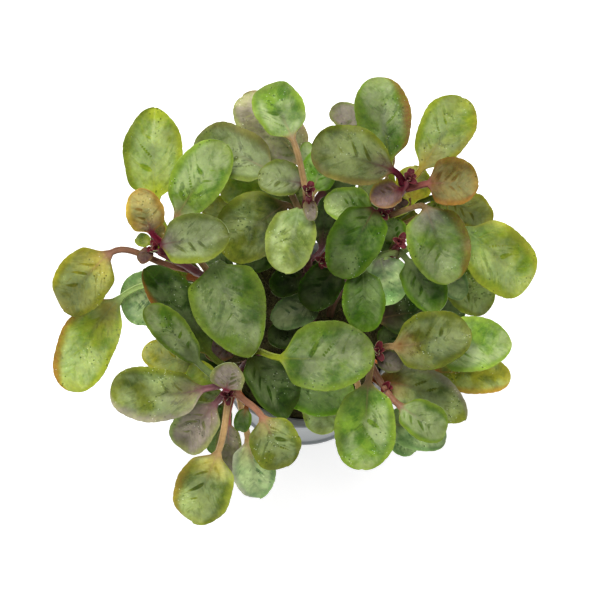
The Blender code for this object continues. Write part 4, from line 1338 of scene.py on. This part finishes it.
def pot_finish():
    """Cloudy grey plastic: faint turning lines, soft mottling, scuffs and a satin gloss."""
    material, tree, shader = start_material("pot")
    cloud = noise(tree, CLOUDS, 3)
    scuff = noise(tree, SCUFFS, 5, (1, 1, 6))
    colour = mix(tree, rise(tree, cloud, 0.35, 0.65), POT_GREY, POT_PALE_GREY)
    colour = mix(tree, rise(tree, mark(tree, "along"), 0.5, 1.0), POT_FOOT_GREY, colour)
    colour = layer(tree, colour, SCUFF_GREY, rise(tree, scuff, 0.55, 0.75), 0.3)
    tree.links.new(colour, shader.inputs["Base Color"])
    tree.links.new(calc(tree, "MULTIPLY_ADD", scuff, 0.3, 0.25), shader.inputs["Roughness"])
    turned = noise(tree, TURNED_LINES, 2, (0.3, 0.3, 8))
    set_bump(tree, shader, calc(tree, "ADD", turned, scuff), POT_BUMP, 0.6)
    return material


pot = pot_skin()
make_piece("moulded_pot", [pot], [pot_finish()], "pot")
print("pot is right way out:", volume_of(pot) > 0)

# %% [markdown]
# ## Floor and light
#
# The plant stands on a plain white table in even studio light. A level leaf mirrors to the camera what lies
# 12 degrees behind the zenith, so a softbox near there lays the grey sheen on the level leaves, and those
# that turn away from it show greener, though the same grey is also painted in patches into the leaves'
# colour. A bright sky all round fills the shadows, and the floor gives off a little light itself, as a lit
# table does, so that it stays nearly white under the plant.

# %% The studio
WARM_WHITE = (1, 0.98, 0.88)
AIM = Vector((0, 0, 80 * MM))


def softbox(name, where, size, power):
    """A square area light aimed at the middle of the plant."""
    light = bpy.data.lights.new(name, "AREA")
    light.size = size
    light.energy = power
    light.color = WARM_WHITE
    box = add_object(name, light)
    box.location = where
    box.rotation_euler = (AIM - Vector(where)).to_track_quat("-Z", "Y").to_euler()


softbox("overhead", where=(-0.12, 0.32, 1.1), size=0.55, power=11)

FLOOR_HALF = 2.0
FLOOR_DROP = 0.02 * MM
FLOOR_GLOW = 0.5
FLOOR_CLOUDS = 30
SKY_STRENGTH = 0.6
x, y = FLOOR_HALF * np.array([-1, 1, 1, -1]), FLOOR_HALF * np.array([-1, -1, 1, 1])
floor_mesh = bpy.data.meshes.new("floor")
floor_mesh.from_pydata(np.stack([x, y, np.full(4, -FLOOR_DROP)], -1), [], [(0, 1, 2, 3)])
floor = add_object("floor", floor_mesh)
floor_material, floor_tree, floor_shader = start_material("floor")
tint = mix(floor_tree, noise(floor_tree, FLOOR_CLOUDS, 2), ink(246, 245, 247), ink(250, 249, 251))
floor_tree.links.new(tint, floor_shader.inputs["Base Color"])
floor_shader.inputs["Roughness"].default_value = 0.8
floor_shader.inputs["Emission Color"].default_value = (1, 1, 1, 1)
floor_shader.inputs["Emission Strength"].default_value = FLOOR_GLOW
floor_mesh.materials.append(floor_material)

world = bpy.data.worlds.new("studio")
bpy.context.scene.world = world
world.use_nodes = True
world.node_tree.nodes["Background"].inputs["Color"].default_value = (1, 1, 1, 1)
world.node_tree.nodes["Background"].inputs["Strength"].default_value = SKY_STRENGTH
bpy.context.scene.view_settings.view_transform = "Standard"
print("floor and light are set")
